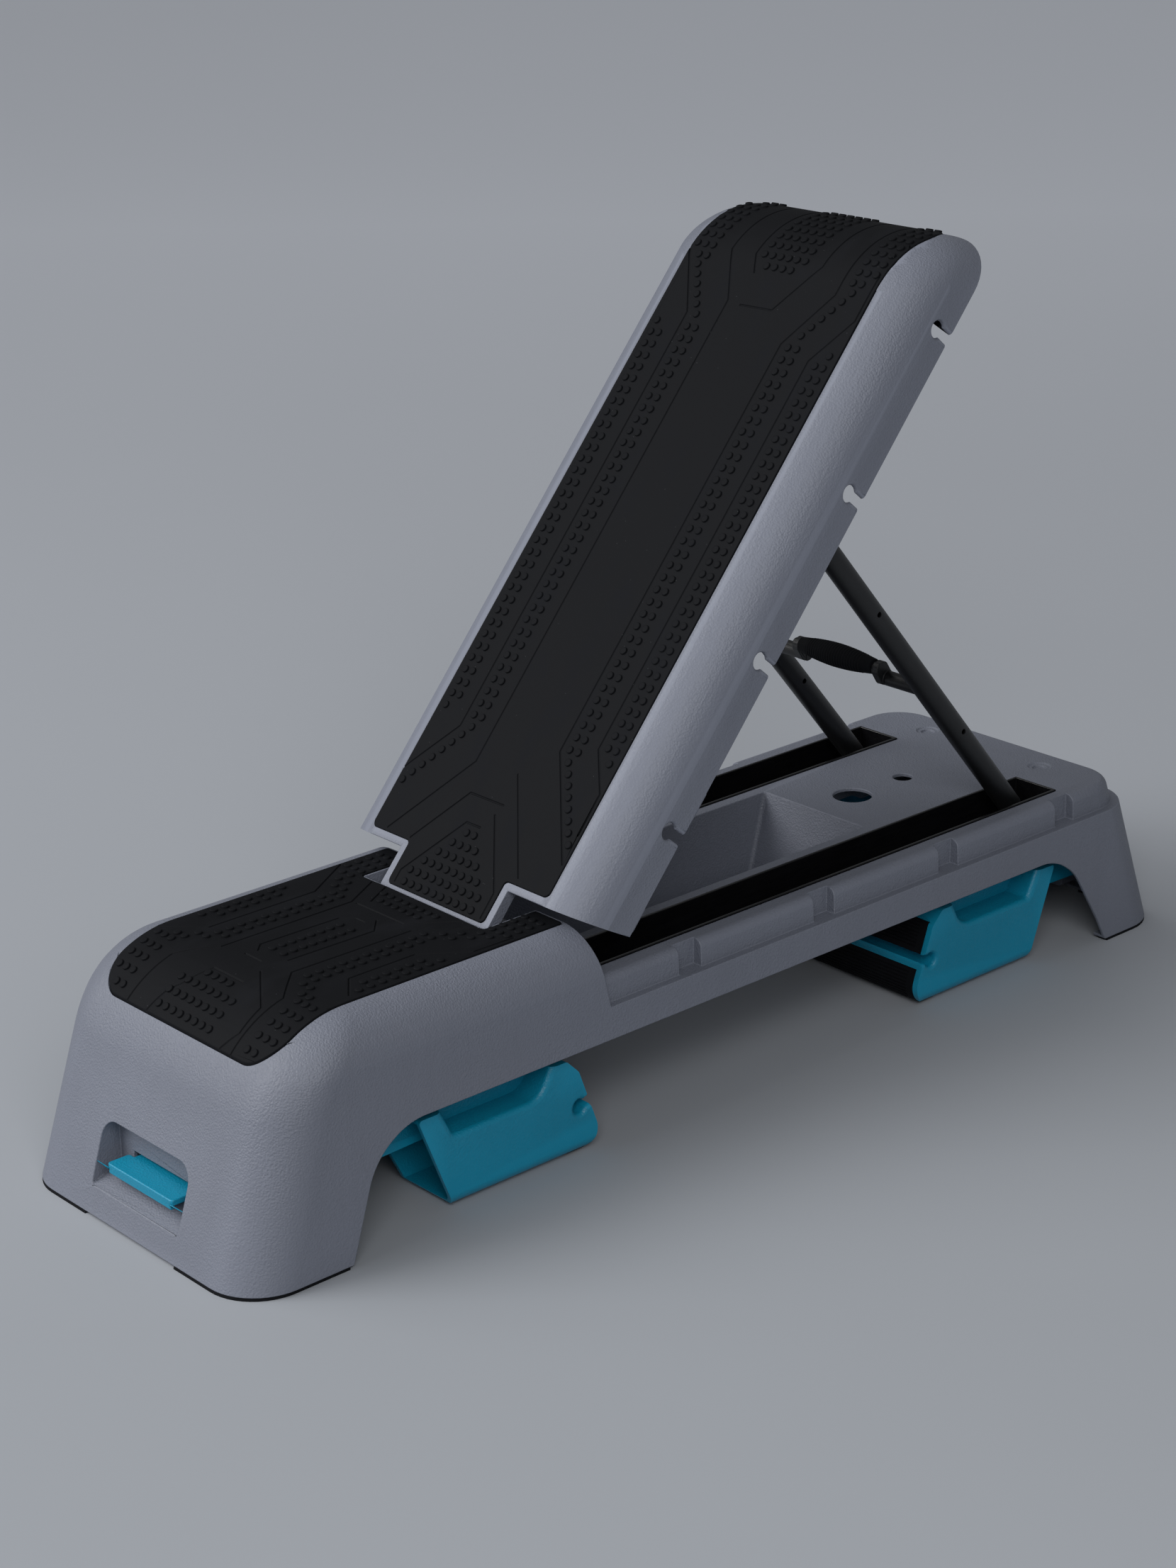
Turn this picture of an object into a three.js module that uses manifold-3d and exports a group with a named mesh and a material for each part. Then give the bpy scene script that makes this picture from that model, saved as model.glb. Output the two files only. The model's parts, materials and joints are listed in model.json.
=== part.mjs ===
// Workout deck with a folding slant board: a moulded base with a padded seat, a hinged backrest
// held up by a tubular prop, and two fold-down legs kept shut by sliding latches.
// Millimetres, +Z up. X runs from the seat end (-) to the head end (+), Y across, Z = 0 on the floor.
// Everything is drawn as the deck stands with its backrest up and its legs folded away.
import * as THREE from 'three';
import { mergeVertices } from 'three/addons/utils/BufferGeometryUtils.js';
import Module from 'manifold-3d';

const wasm = await Module();
wasm.setup();

// ---------------------------------------------------------------- driving dimensions
const rad = THREE.MathUtils.degToRad;
const HALF_LENGTH = 550;
const HALF_WIDTH = 159.4; // at the floor
const END_LEAN = rad(17.7); // end faces, from vertical
const SIDE_LEAN = rad(2.03); // side faces, from vertical
const CORNER_R = 48; // plan corners at the floor
const TOP_R = 42; // edge between a side and the top
const END_R = 98; // edge between an end face and the top
const WALL = 3.5;
const GAP = 0.3;
const SHELL_TOP = 199.4;
const MAT_THICK = 3.1;
const MAT_PROUD = 1;
const MAT_HALF_WIDTH = 114.7;

const FOOT_Z = 2.7; // moulding starts here, on rubber foot strips
const FLANGE = 14; // turned-in rim under the feet
const ARCH_Z = 103.5; // lower edge of the sides between the feet
const LEDGE_Z = 132.3;
const LEDGE_WIDTH = 8;
const DECK_Z = 156; // rails and rear platform
const DECK_EDGE_R = 8;

const SEAT_REAR_X = -184; // at the top; the edge sweeps back to the ledge
const SEAT_SWEEP = 0.2;
const RECESS_FRONT_X = -240;
const RECESS_HALF_WIDTH = 78.5;

const SLOT_INNER_Y = 76;
const SLOT_OUTER_Y = 126;
const SLOT_X = [-165, 419];
const SLOT_FLOOR_Z = 118;
const POCKET_PITCH = 160.26; // side pockets that take the backrest's hooks
const POCKET_FIRST_X = -73.9;
const POCKET_HALF = 12.6;

const BIN = { top: [-150, 223.5, 64], bottom: [-138, 188, 58], floor: 50 };

const HAND_POCKET = { halfWidth: 60, low: 24, high: 79, back: 38, round: 16 }; // in each end face
const PLATFORM_HOLES = [[275, 0, 18.5], [344, 0, 9.5]]; // x, y and radius
const PLATFORM_DIMPLES = [[458, 72, 11], [458, -72, 11]];
const DIMPLE_DEPTH = 1.2;

const TILT = rad(49.35); // backrest above horizontal
const PIVOT_X = -214.5;
const PIVOT_Z = 178;
const BACK_FRONT_X = -177.5; // shoulders, backrest laid flat
const BACK_HEAD_INSET = 6;
const TONGUE_X = -217.5;
const TONGUE_HALF_WIDTH = 70;
const TONGUE_UNDER_Z = 189;
const BORDER = 7.3; // shell rim round the mat
const NOTCH_BORDER = 2.5; // shell rim round the recess
const SEAT_MAT_FRONT_X = -489;
const BACK_MAT_HEAD_X = 500;

const AXLE_X = 225.5; // prop axle, backrest laid flat
const AXLE_Z = 158;
const PROP_Y = 101;
const TUBE_R = 11;
const PROP_FOOT = [390.4, 135];

const LEG_HALF_WIDTH = 140;
const FRONT_PIVOT_E = 112; // pivots, from each end of the deck
const REAR_PIVOT_E = 72;
const LEG_PIVOT_Z = 70;
const PIN_R = 6;
const BUSH_R = 9;
const LATCH_Z = [42.5, 47.5];

// ---------------------------------------------------------------- prop geometry
// Axle in X and Z with the backrest lifted by `lift` above its drawn tilt.
function axleAt(lift) {
  const [x, z] = [AXLE_X - PIVOT_X, AXLE_Z - PIVOT_Z];
  const angle = TILT + lift;
  const [c, s] = [Math.cos(angle), Math.sin(angle)];
  return [PIVOT_X + x * c - z * s, PIVOT_Z + x * s + z * c];
}

const PROP_LENGTH = Math.hypot(PROP_FOOT[0] - axleAt(0)[0], PROP_FOOT[1] - axleAt(0)[1]);
const SETTINGS = [0, 5, 10, 15, 20, 25, 30]; // backrest stops, in degrees above the lowest

// Where the foot stands in its track when the backrest is lifted by `lift`.
function footX(lift) {
  const [x, z] = axleAt(lift);
  return x + Math.sqrt(PROP_LENGTH ** 2 - (z - PROP_FOOT[1]) ** 2);
}

const footPoint = (lift) => [footX(lift), PROP_FOOT[1]];

// ---------------------------------------------------------------- shape helpers
function solid(geometry) {
  const bare = geometry.index ? geometry.toNonIndexed() : geometry.clone();
  bare.deleteAttribute('normal');
  bare.deleteAttribute('uv');
  const merged = mergeVertices(bare, 1e-4);
  return new wasm.Manifold(new wasm.Mesh({
    numProp: 3,
    vertProperties: new Float32Array(merged.attributes.position.array),
    triVerts: new Uint32Array(merged.index.array),
  }));
}

function geometryOf(body) {
  const mesh = body.getMesh();
  const geometry = new THREE.BufferGeometry();
  geometry.setAttribute('position', new THREE.BufferAttribute(mesh.vertProperties, 3));
  geometry.setIndex(new THREE.BufferAttribute(mesh.triVerts, 1));
  geometry.computeVertexNormals();
  return geometry;
}

const join = (...parts) => parts.reduce((all, part) => all.add(part));
const cut = (body, ...tools) => tools.reduce((left, tool) => left.subtract(tool), body);

// Polygon corners [x, y, radius] turned into points, with each radius as an arc.
function outline(corners, step = 30) {
  const points = [];
  corners.forEach(([x, y, radius = 0], i) => {
    const at = new THREE.Vector2(x, y);
    const before = corners.at(i - 1);
    const after = corners[(i + 1) % corners.length];
    const a = new THREE.Vector2(before[0] - x, before[1] - y).normalize();
    const b = new THREE.Vector2(after[0] - x, after[1] - y).normalize();
    const half = Math.acos(THREE.MathUtils.clamp(a.dot(b), -1, 1)) / 2;
    if (!radius || Math.PI / 2 - half < 0.02) {
      points.push(at);
      return;
    }
    const centre = at.clone().add(a.clone().add(b).normalize().multiplyScalar(radius / Math.sin(half)));
    const from = at.clone().addScaledVector(a, radius / Math.tan(half)).sub(centre);
    const to = at.clone().addScaledVector(b, radius / Math.tan(half)).sub(centre);
    const turn = Math.atan2(from.cross(to), from.dot(to));
    const count = Math.max(1, Math.ceil(Math.abs(turn) / rad(step)));
    for (let k = 0; k <= count; k++) {
      points.push(from.clone().rotateAround(new THREE.Vector2(), (turn * k) / count).add(centre));
    }
  });
  return points;
}

const extrude = (points, depth) => new THREE.ExtrudeGeometry(
  new THREE.Shape(points), { depth, bevelEnabled: false, steps: 1 });

// Profile in X and Z, from y0 to y1.
function prismY(corners, y0, y1, step) {
  return solid(extrude(outline(corners, step), y1 - y0).rotateX(Math.PI / 2).translate(0, y1, 0));
}

// Outline in X and Y, from z0 to z1.
function prismZ(corners, z0, z1, step) {
  return solid(extrude(outline(corners, step), z1 - z0).translate(0, 0, z0));
}

// Profile in Y and Z, from x0 to x1.
function prismX(corners, x0, x1, step) {
  const turn = new THREE.Matrix4().makeBasis(
    new THREE.Vector3(0, 1, 0), new THREE.Vector3(0, 0, 1), new THREE.Vector3(1, 0, 0));
  return solid(extrude(outline(corners, step), x1 - x0).applyMatrix4(turn).translate(x0, 0, 0));
}

function box(x0, x1, y0, y1, z0, z1) {
  return solid(new THREE.BoxGeometry(x1 - x0, y1 - y0, z1 - z0)
    .translate((x0 + x1) / 2, (y0 + y1) / 2, (z0 + z1) / 2));
}

const mirrored = (x0, x1, y0, y1, z0, z1) => join(
  box(x0, x1, y0, y1, z0, z1), box(x0, x1, -y1, -y0, z0, z1));

// Round bar between two points.
function bar(from, to, radius, sides = 16) {
  const a = new THREE.Vector3(...from);
  const b = new THREE.Vector3(...to);
  const along = b.clone().sub(a);
  const geometry = new THREE.CylinderGeometry(radius, radius, along.length(), sides);
  const turn = new THREE.Quaternion().setFromUnitVectors(
    new THREE.Vector3(0, 1, 0), along.clone().normalize());
  return solid(geometry.applyQuaternion(turn).translate(...a.add(b).multiplyScalar(0.5).toArray()));
}

const barY = (x, z, y0, y1, radius, sides) => bar([x, y0, z], [x, y1, z], radius, sides);

// Closed stack of equal rings of points.
function loft(rings) {
  const count = rings[0].length;
  const index = [];
  for (let r = 0; r + 1 < rings.length; r++) {
    for (let k = 0; k < count; k++) {
      const a = r * count + k;
      const b = r * count + ((k + 1) % count);
      index.push(a, b, b + count, a, b + count, a + count);
    }
  }
  const last = (rings.length - 1) * count;
  for (let k = 1; k + 1 < count; k++) {
    index.push(0, k + 1, k, last, last + k, last + k + 1);
  }
  const geometry = new THREE.BufferGeometry();
  geometry.setAttribute('position', new THREE.Float32BufferAttribute(rings.flat(2), 3));
  geometry.setIndex(index);
  return solid(geometry);
}

// Rectangle with rounded corners at height z; rear and front corners may differ.
function ring(z, x0, x1, halfWidth, frontR, rearR) {
  const points = outline([
    [x0, -halfWidth, 0], [x1, -halfWidth, 0], [x1, halfWidth, 0], [x0, halfWidth, 0],
  ]);
  const radii = [frontR, rearR, rearR, frontR];
  return points.flatMap((corner, i) => {
    const centre = [
      corner.x + (i === 0 || i === 3 ? radii[i] : -radii[i]),
      corner.y + (i < 2 ? radii[i] : -radii[i]),
    ];
    return [0, 1, 2, 3, 4].map((k) => {
      const angle = rad(180 + 90 * i + 22.5 * k);
      return [centre[0] + radii[i] * Math.cos(angle), centre[1] + radii[i] * Math.sin(angle), z];
    });
  });
}

const MIN_LEVEL_STEP = 0.25;

// Half extent at height z of a leaning face that rolls over into a flat top.
function extent(ground, lean, top, radius, z) {
  const tangentZ = top - radius + radius * Math.sin(lean);
  if (z <= tangentZ) return ground - z * Math.tan(lean);
  const centre = ground - tangentZ * Math.tan(lean) - radius * Math.cos(lean);
  return centre + Math.sqrt(Math.max(0, radius ** 2 - (z - top + radius) ** 2));
}

// The deck's outer form, grown by `grow`, from z0 up to a top with rolled edges.
function form({
  grow = 0, z0 = -1, top = SHELL_TOP, edge = TOP_R, endEdge = END_R, frontX = null, headInset = 0,
}) {
  const [edgeR, endR] = [Math.max(1, edge + grow), Math.max(1, endEdge + grow)];
  const topZ = top + grow;
  const rollLevels = (radius, lean, step) => {
    const from = THREE.MathUtils.radToDeg(lean);
    const count = Math.ceil((90 - from) / step);
    return Array.from({ length: count + 1 }, (_, k) =>
      topZ - radius + radius * Math.sin(rad(from + ((90 - from) * k) / count)));
  };
  const levels = [z0];
  const rolls = [...rollLevels(endR, END_LEAN, 12), ...rollLevels(edgeR, SIDE_LEAN, 15)];
  for (const z of rolls.sort((a, b) => a - b)) {
    if (z > levels.at(-1) + MIN_LEVEL_STEP) levels.push(z);
  }
  levels[levels.length - 1] = topZ;
  return loft(levels.map((z) => {
    const halfX = extent(HALF_LENGTH + grow / Math.cos(END_LEAN), END_LEAN, topZ, endR, z);
    const straightY = HALF_WIDTH + grow / Math.cos(SIDE_LEAN) - z * Math.tan(SIDE_LEAN);
    const halfY = extent(HALF_WIDTH + grow / Math.cos(SIDE_LEAN), SIDE_LEAN, topZ, edgeR, z);
    const cornerR = Math.max(3, CORNER_R + grow - (straightY - halfY));
    return ring(z, frontX ?? -halfX, halfX - headInset, halfY, frontX === null ? cornerR : 0.5, cornerR);
  }));
}

const meshes = [];

function add(name, body, material) {
  const mesh = new THREE.Mesh(geometryOf(body), material);
  mesh.name = name;
  meshes.push(mesh);
  return mesh;
}

const finish = (color, roughness, metalness = 0) =>
  new THREE.MeshStandardMaterial({ color, roughness, metalness });
const greyPlastic = finish(0x767c8a, 0.55);
const tealPlastic = finish(0x1595a8, 0.4);
const blackPlastic = finish(0x101113, 0.3);
const rubber = finish(0x1a1b1e, 0.8);
const blackSteel = finish(0x17181a, 0.4, 0.8);
const zincSteel = finish(0xb8bcc0, 0.35, 1);

// ---------------------------------------------------------------- base
const seatRearAt = (z) => SEAT_REAR_X + (SHELL_TOP - z) * SEAT_SWEEP;

function seatZone(shrink) {
  return prismY([
    [-700, -10], [seatRearAt(-10) - shrink, -10], [seatRearAt(260) - shrink, 260], [-700, 260],
  ], -250, 250);
}

function archCut() {
  const arch = outline([
    [-447.4, -20], [-447.4, 0], [-438, 27, 60], [-419, 82, 60], [-385, ARCH_Z, 60], [385, ARCH_Z, 60],
    [414, 83, 60], [447, 27, 60], [460.5, 0], [460.5, -20],
  ], 20).map((p) => [p.x, p.y]);
  return join(prismY(arch, 130, 200), prismY(arch, -200, -130));
}

// Box-shaped well that narrows towards its floor.
function tapered({ top, bottom, floor }, grow, topZ) {
  const cornerR = 4 + grow;
  const rect = ([x0, x1, halfWidth], z) =>
    ring(z, x0 - grow, x1 + grow, halfWidth + grow, cornerR, cornerR);
  return loft([rect(bottom, floor - grow), rect(top, DECK_Z), rect(top, topZ)]);
}

// Finger pocket in an end face, with a sloping floor; grown by a wall it is the pocket's casing.
function endPocket(wall = 0) {
  const { halfWidth, low, high, back, round } = HAND_POCKET;
  const half = halfWidth + wall;
  const pocket = prismX([
    [-half, low - wall * 3, 5], [half, low - wall * 3, 5],
    [half, high + wall, round], [-half, high + wall, round],
  ], -HALF_LENGTH - 10, -HALF_LENGTH + back + wall);
  if (wall) return pocket;
  const floorWedge = prismY([
    [-HALF_LENGTH - 20, 10], [-HALF_LENGTH - 20, 14], [-HALF_LENGTH + 40, 38], [-HALF_LENGTH + 40, 10],
  ], -100, 100);
  return pocket.subtract(floorWedge);
}

// dir is 1 at the seat (front) end and -1 at the head (rear) end.
const endMirror = (make) => [make(1), make(-1)];
const turned = (body, dir) => (dir > 0 ? body : body.rotate([0, 0, 180]));
const pivotX = (dir) => dir * (-HALF_LENGTH + (dir > 0 ? FRONT_PIVOT_E : REAR_PIVOT_E));
const endName = (dir) => (dir > 0 ? 'front' : 'rear');

// Plates that carry a leg's pin, and the posts that its latch springs stand against.
function hangers(dir) {
  const x = dir * pivotX(dir);
  const top = dir > 0 ? SHELL_TOP - WALL + 1 : DECK_Z - WALL + 1;
  const plate = (y0, y1) => prismY([
    [x - 17, LEG_PIVOT_Z - 16, 14], [x + 17, LEG_PIVOT_Z - 16, 14], [x + 17, top], [x - 17, top],
  ], y0, y1);
  const anchorX = x + 18;
  const anchor = (y) => box(anchorX, anchorX + 4, y - 8, y + 8, 38, top);
  return turned(join(plate(115, 120), plate(-120, -115), anchor(30), anchor(-30)), dir);
}

// The deck's form before it is drawn in by the ledge.
const DECK_FORM = {
  top: DECK_Z + LEDGE_WIDTH, edge: DECK_EDGE_R + LEDGE_WIDTH, endEdge: DECK_EDGE_R + LEDGE_WIDTH,
};

// Keeps what lies below the ledge that runs round the sides and the rear.
const belowLedge = (z0, inset) => box(-600, 600, -200, 200, z0, LEDGE_Z - inset);

function outerSkin() {
  const seat = form({ z0: 120 }).intersect(seatZone(0));
  const lower = form({ z0: FOOT_Z }).intersect(belowLedge(0, 0));
  const deck = form({ ...DECK_FORM, grow: -LEDGE_WIDTH, z0: 120 })
    .intersect(box(-230, 600, -200, 200, 0, 300));
  return join(seat, lower, deck);
}

function innerHollow() {
  const seat = form({ grow: -WALL, z0: -5 }).intersect(seatZone(WALL));
  const low = form({ grow: -WALL, z0: -5 }).intersect(belowLedge(-5, WALL));
  const deck = form({ ...DECK_FORM, grow: -LEDGE_WIDTH - WALL, z0: -5 })
    .intersect(box(seatRearAt(140) + 0.1, 600, -200, 200, -5, DECK_Z - WALL));
  return join(seat, low, deck);
}

// Web that carries the rear of the seat and stands round the backrest's tongue.
function recessWalls() {
  const [deckUnder, seatUnder] = [DECK_Z - WALL, SHELL_TOP - 1];
  return prismY([
    [RECESS_FRONT_X - WALL, deckUnder], [-150, deckUnder], [-150, DECK_Z - 0.5],
    [seatRearAt(DECK_Z), DECK_Z - 0.5], [seatRearAt(seatUnder), seatUnder],
    [RECESS_FRONT_X - WALL, seatUnder],
  ], -RECESS_HALF_WIDTH - WALL, RECESS_HALF_WIDTH + WALL);
}

function seatRibs() {
  const [low, top] = [SHELL_TOP - 18, SHELL_TOP - WALL];
  const across = [-395, -300].map((x) => mirrored(x, x + 3, 0, 128, low, top));
  return join(mirrored(-470, -245, 48, 51, low, top), ...across);
}

function baseShell() {
  const outer = outerSkin();
  const rim = form({ z0: FOOT_Z }).intersect(box(-600, 600, -200, 200, 0, FOOT_Z + 3))
    .subtract(form({ grow: -FLANGE, z0: -5 }));
  const troughs = mirrored(
    SLOT_X[0] - 3, SLOT_X[1] + 3, SLOT_INNER_Y - 3, SLOT_OUTER_Y + 3, SLOT_FLOOR_Z - 3, DECK_Z - 1);
  const binWalls = tapered(BIN, 3, DECK_Z - 0.5).intersect(box(-300, 300, -100, 100, 0, DECK_Z - 0.5));
  const pocketXs = [0, 1, 2, 3].map((k) => POCKET_FIRST_X + k * POCKET_PITCH);
  const pocketBacks = pocketXs.map((x) => mirrored(
    x - POCKET_HALF - 4, x + POCKET_HALF + 4, 133.5, 150, LEDGE_Z - WALL, DECK_Z - 1));
  const pocketCasing = endPocket(WALL).intersect(form({ z0: FOOT_Z }));
  const shell = join(cut(outer, innerHollow()), rim, troughs, binWalls, recessWalls(), seatRibs(),
    ...pocketBacks, ...endMirror(hangers), ...endMirror((dir) => turned(pocketCasing, dir)))
    .intersect(outer);

  const latchSlot = box(-HALF_LENGTH + 30, -HALF_LENGTH + 50, -41, 41, 40, 51);
  const sidePockets = pocketXs.map((x) => mirrored(
    x - POCKET_HALF, x + POCKET_HALF, 137, 170, LEDGE_Z, DECK_Z + 5));
  const matBed = form({ grow: 8 }).subtract(form({ grow: MAT_PROUD - MAT_THICK - GAP }))
    .intersect(seatMatField(GAP));
  const recess = prismY([[RECESS_FRONT_X, DECK_Z], [-100, DECK_Z], [-100, 250], [RECESS_FRONT_X, 250]],
    -RECESS_HALF_WIDTH, RECESS_HALF_WIDTH);
  const slots = mirrored(...SLOT_X, SLOT_INNER_Y, SLOT_OUTER_Y, SLOT_FLOOR_Z, DECK_Z + 20);
  const pinHoles = [1, -1].map((dir) => barY(pivotX(dir), LEG_PIVOT_Z, -130, 130, PIN_R + GAP));
  const holes = PLATFORM_HOLES.map(([x, y, r]) => bar([x, y, DECK_Z - 20], [x, y, DECK_Z + 20], r, 24));
  const dimples = PLATFORM_DIMPLES.map(([x, y, r]) =>
    bar([x, y, DECK_Z - DIMPLE_DEPTH], [x, y, DECK_Z + 20], r));
  return cut(shell, archCut(), matBed, tapered(BIN, 0, DECK_Z + 20), slots, recess,
    barY(PIVOT_X, PIVOT_Z, -90, 90, BUSH_R + GAP), ...sidePockets, ...pinHoles, ...holes, ...dimples,
    ...endMirror((dir) => turned(join(endPocket(), latchSlot), dir)));
}

// Plan of the seat mat: rounded at the front, notched at the rear for the recess.
function seatMatField(grow) {
  const w = MAT_HALF_WIDTH + grow;
  const front = SEAT_MAT_FRONT_X - grow;
  const rear = SEAT_REAR_X - 3 + grow;
  const notchY = RECESS_HALF_WIDTH + NOTCH_BORDER - grow;
  const notchX = RECESS_FRONT_X - NOTCH_BORDER + grow;
  return prismZ([
    [front, -w, 28], [rear, -w, 2], [rear, -notchY, 2], [notchX, -notchY, 4],
    [notchX, notchY, 4], [rear, notchY, 2], [rear, w, 2], [front, w, 28],
  ], 150, 260);
}

const seatMat = () => form({ grow: MAT_PROUD }).subtract(form({ grow: MAT_PROUD - MAT_THICK }))
  .intersect(seatMatField(0));

add('base_shell', baseShell(), greyPlastic);
add('seat_mat', seatMat(), rubber);

// Black liner of one slot: a channel with low ridges that stop the prop's foot at each setting.
function track(side) {
  const [x0, x1] = SLOT_X;
  const span = (inset) => (side > 0
    ? [SLOT_INNER_Y + inset, SLOT_OUTER_Y - inset] : [-SLOT_OUTER_Y + inset, -SLOT_INNER_Y - inset]);
  const floor = SLOT_FLOOR_Z + GAP + 2.7;
  const channel = box(x0 + GAP, x1 - GAP, ...span(GAP), SLOT_FLOOR_Z + GAP, DECK_Z + 1.2)
    .subtract(box(x0 + 3, x1 - 3, ...span(3), floor, 300));
  const ridges = SETTINGS.map((lift) => {
    const x = footX(rad(lift)) + 13;
    return prismY([[x - 3, floor - 1], [x - 1.5, floor + 2.8], [x + 1.5, floor + 2.8], [x + 3, floor - 1]],
      ...span(2));
  });
  return join(channel, ...ridges);
}

// Rubber strip under one corner of the deck.
function footStrip(end, side) {
  const strip = form({ grow: -0.6, z0: 0 }).subtract(form({ grow: 0.4 - FLANGE, z0: -5 }));
  const [x0, x1] = end < 0 ? [-560, -450] : [462, 560];
  return strip.intersect(box(x0, x1, side > 0 ? 62 : -200, side > 0 ? 200 : -62, 0, FOOT_Z - GAP));
}

function sleeve(x, z, y0, y1, outer, inner) {
  return barY(x, z, y0, y1, outer, 16).subtract(barY(x, z, y0 - 5, y1 + 5, inner, 16));
}

const sides = [[1, 'left'], [-1, 'right']];
const spanY = (side, y0, y1) => (side > 0 ? [y0, y1] : [-y1, -y0]);

add('hinge_pin', barY(PIVOT_X, PIVOT_Z, -84, 84, PIN_R, 16), zincSteel);
for (const [side, name] of sides) {
  add(`track_${name}`, track(side), blackPlastic);
  add(`hinge_bush_${name}`, sleeve(PIVOT_X, PIVOT_Z, ...spanY(side, 77.3, 83), BUSH_R, PIN_R + GAP),
    blackPlastic);
  for (const dir of [1, -1]) {
    add(`foot_strip_${endName(dir)}_${name}`, footStrip(-dir, side), rubber);
  }
}

// ---------------------------------------------------------------- legs and latches
const SOLE_SLOPE = 0.362; // the sole leans so that it lies flat when the leg is down
const soleX = (z) => 355.3 + (77 - z) * SOLE_SLOPE;
const LEG_BOTTOM_Z = 2;

// Side profile of a leg, in distance from the deck's end and height, grown by `grow`.
function legProfile(grow) {
  const soleGrow = grow * 1.064;
  return [
    [186.5 - grow, 90 + grow, 3], [342.5 + grow / 2, 90 + grow, 5], [355.3 + soleGrow, 77, 8],
    [soleX(LEG_BOTTOM_Z) + soleGrow, LEG_BOTTOM_Z - grow, 18 + grow], [220 - grow, LEG_BOTTOM_Z - grow, 6],
  ];
}

const legPrism = (corners, y0, y1, step) => prismY(
  corners.map(([e, z, r]) => [e - HALF_LENGTH, z, r]), y0, y1, step);
const GROOVE = [soleX(44) - 11, 44];

// Cross-section of a leg: flat sides that round into its sole.
function legSection(grow) {
  const w = LEG_HALF_WIDTH + grow;
  const [z, radius] = [LEG_BOTTOM_Z - grow, 12 + grow];
  return prismX([[-w, z, radius], [w, z, radius], [w, 200], [-w, 200]], -460, -150);
}

function legGroove(radius) {
  const [e, z] = GROOVE;
  const mouth = legPrism([[e, z - 4], [e + 16, z + 1], [e + 16, z + 9], [e, z + 4]], -150, 150);
  return join(barY(e - HALF_LENGTH, z, -150, 150, radius), mouth);
}

function legPadField(upper, grow) {
  const z0 = upper ? 51 : -10;
  const z1 = upper ? 79 : 37;
  const inner = upper ? 340 : 346;
  const y = LEG_HALF_WIDTH - 6 + grow;
  return legPrism([
    [inner - grow, z0 - grow], [400, z0 - grow], [400, z1 + grow], [inner - grow, z1 + grow]], -y, y);
}

function legShell() {
  const w = LEG_HALF_WIDTH;
  const scoop = (grow) => {
    const profile = [
      [206 - grow, 100], [217 - grow, 65 - grow, 5], [318 + grow, 65 - grow, 20], [334 + grow, 100]];
    return join(legPrism(profile, w - 22 - grow, w + 10), legPrism(profile, -w - 10, -w + 22 + grow));
  };
  const channel = (grow) => prismX([
    [-78 - grow, -10], [78 + grow, -10], [66 + grow, 28 + grow, 5], [-66 - grow, 28 + grow, 5],
  ], -410, -232 + grow);
  const hollow = legPrism([
    [150, 86], [337, 86, 4], [347.5, 74.5, 6], [soleX(6) - 7, 6, 14], [150, 6]], -w + 4, w - 4)
    .intersect(legSection(-4));
  const body = cut(legPrism(legProfile(0), -w, w).intersect(legSection(0)), scoop(0), channel(0),
    cut(hollow, scoop(4), channel(4), barY(GROOVE[0] - HALF_LENGTH, GROOVE[1], -150, 150, 10.5)));
  const arm = (side) => join(
    legPrism([[112, 87], [190, 87], [230, 88], [345, 88], [345, 60], [112, 53]], ...spanY(side, 104, 112)),
    barY(FRONT_PIVOT_E - HALF_LENGTH, LEG_PIVOT_Z, ...spanY(side, 104, 112), 17, 16));
  const padBed = (upper) => legPrism(legProfile(6), -w - 5, w + 5)
    .subtract(legPrism(legProfile(-3), -w - 5, w + 5)).intersect(legPadField(upper, GAP));
  const arms = join(arm(1), arm(-1)).subtract(channel(0));
  return cut(join(body, arms), legGroove(6.5), padBed(true), padBed(false),
    barY(FRONT_PIVOT_E - HALF_LENGTH, LEG_PIVOT_Z, -150, 150, BUSH_R + GAP, 16));
}

function legPad(upper) {
  return legPrism(legProfile(0.4), -200, 200).subtract(legPrism(legProfile(-2.7), -200, 200))
    .intersect(legPadField(upper, 0)).intersect(legSection(0.4));
}

function latch(dir) {
  const [z0, z1] = LATCH_Z;
  const innerE = dir > 0 ? 98 : 58;
  const shoulderE = dir > 0 ? 62 : 51;
  const at = (e) => e - HALF_LENGTH;
  const paddle = prismZ([[at(14.5), -45, 3], [at(36), -45, 2], [at(36), 45, 2], [at(14.5), 45, 3]], z0, z1);
  const lip = prismY([
    [at(14.5), z0 + 1], [at(14.5), z0 - 4, 1.5], [at(18.5), z0 - 4], [at(18.5), z0 + 1]], -43, 43);
  const stem = box(at(34), at(shoulderE + 2), -38, 38, z0, z1);
  const plate = prismZ([
    [at(shoulderE), -95, 3], [at(innerE), -95, 3], [at(innerE), 95, 3], [at(shoulderE), 95, 3]], z0, z1);
  return turned(join(paddle, lip, stem, plate), dir);
}

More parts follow.
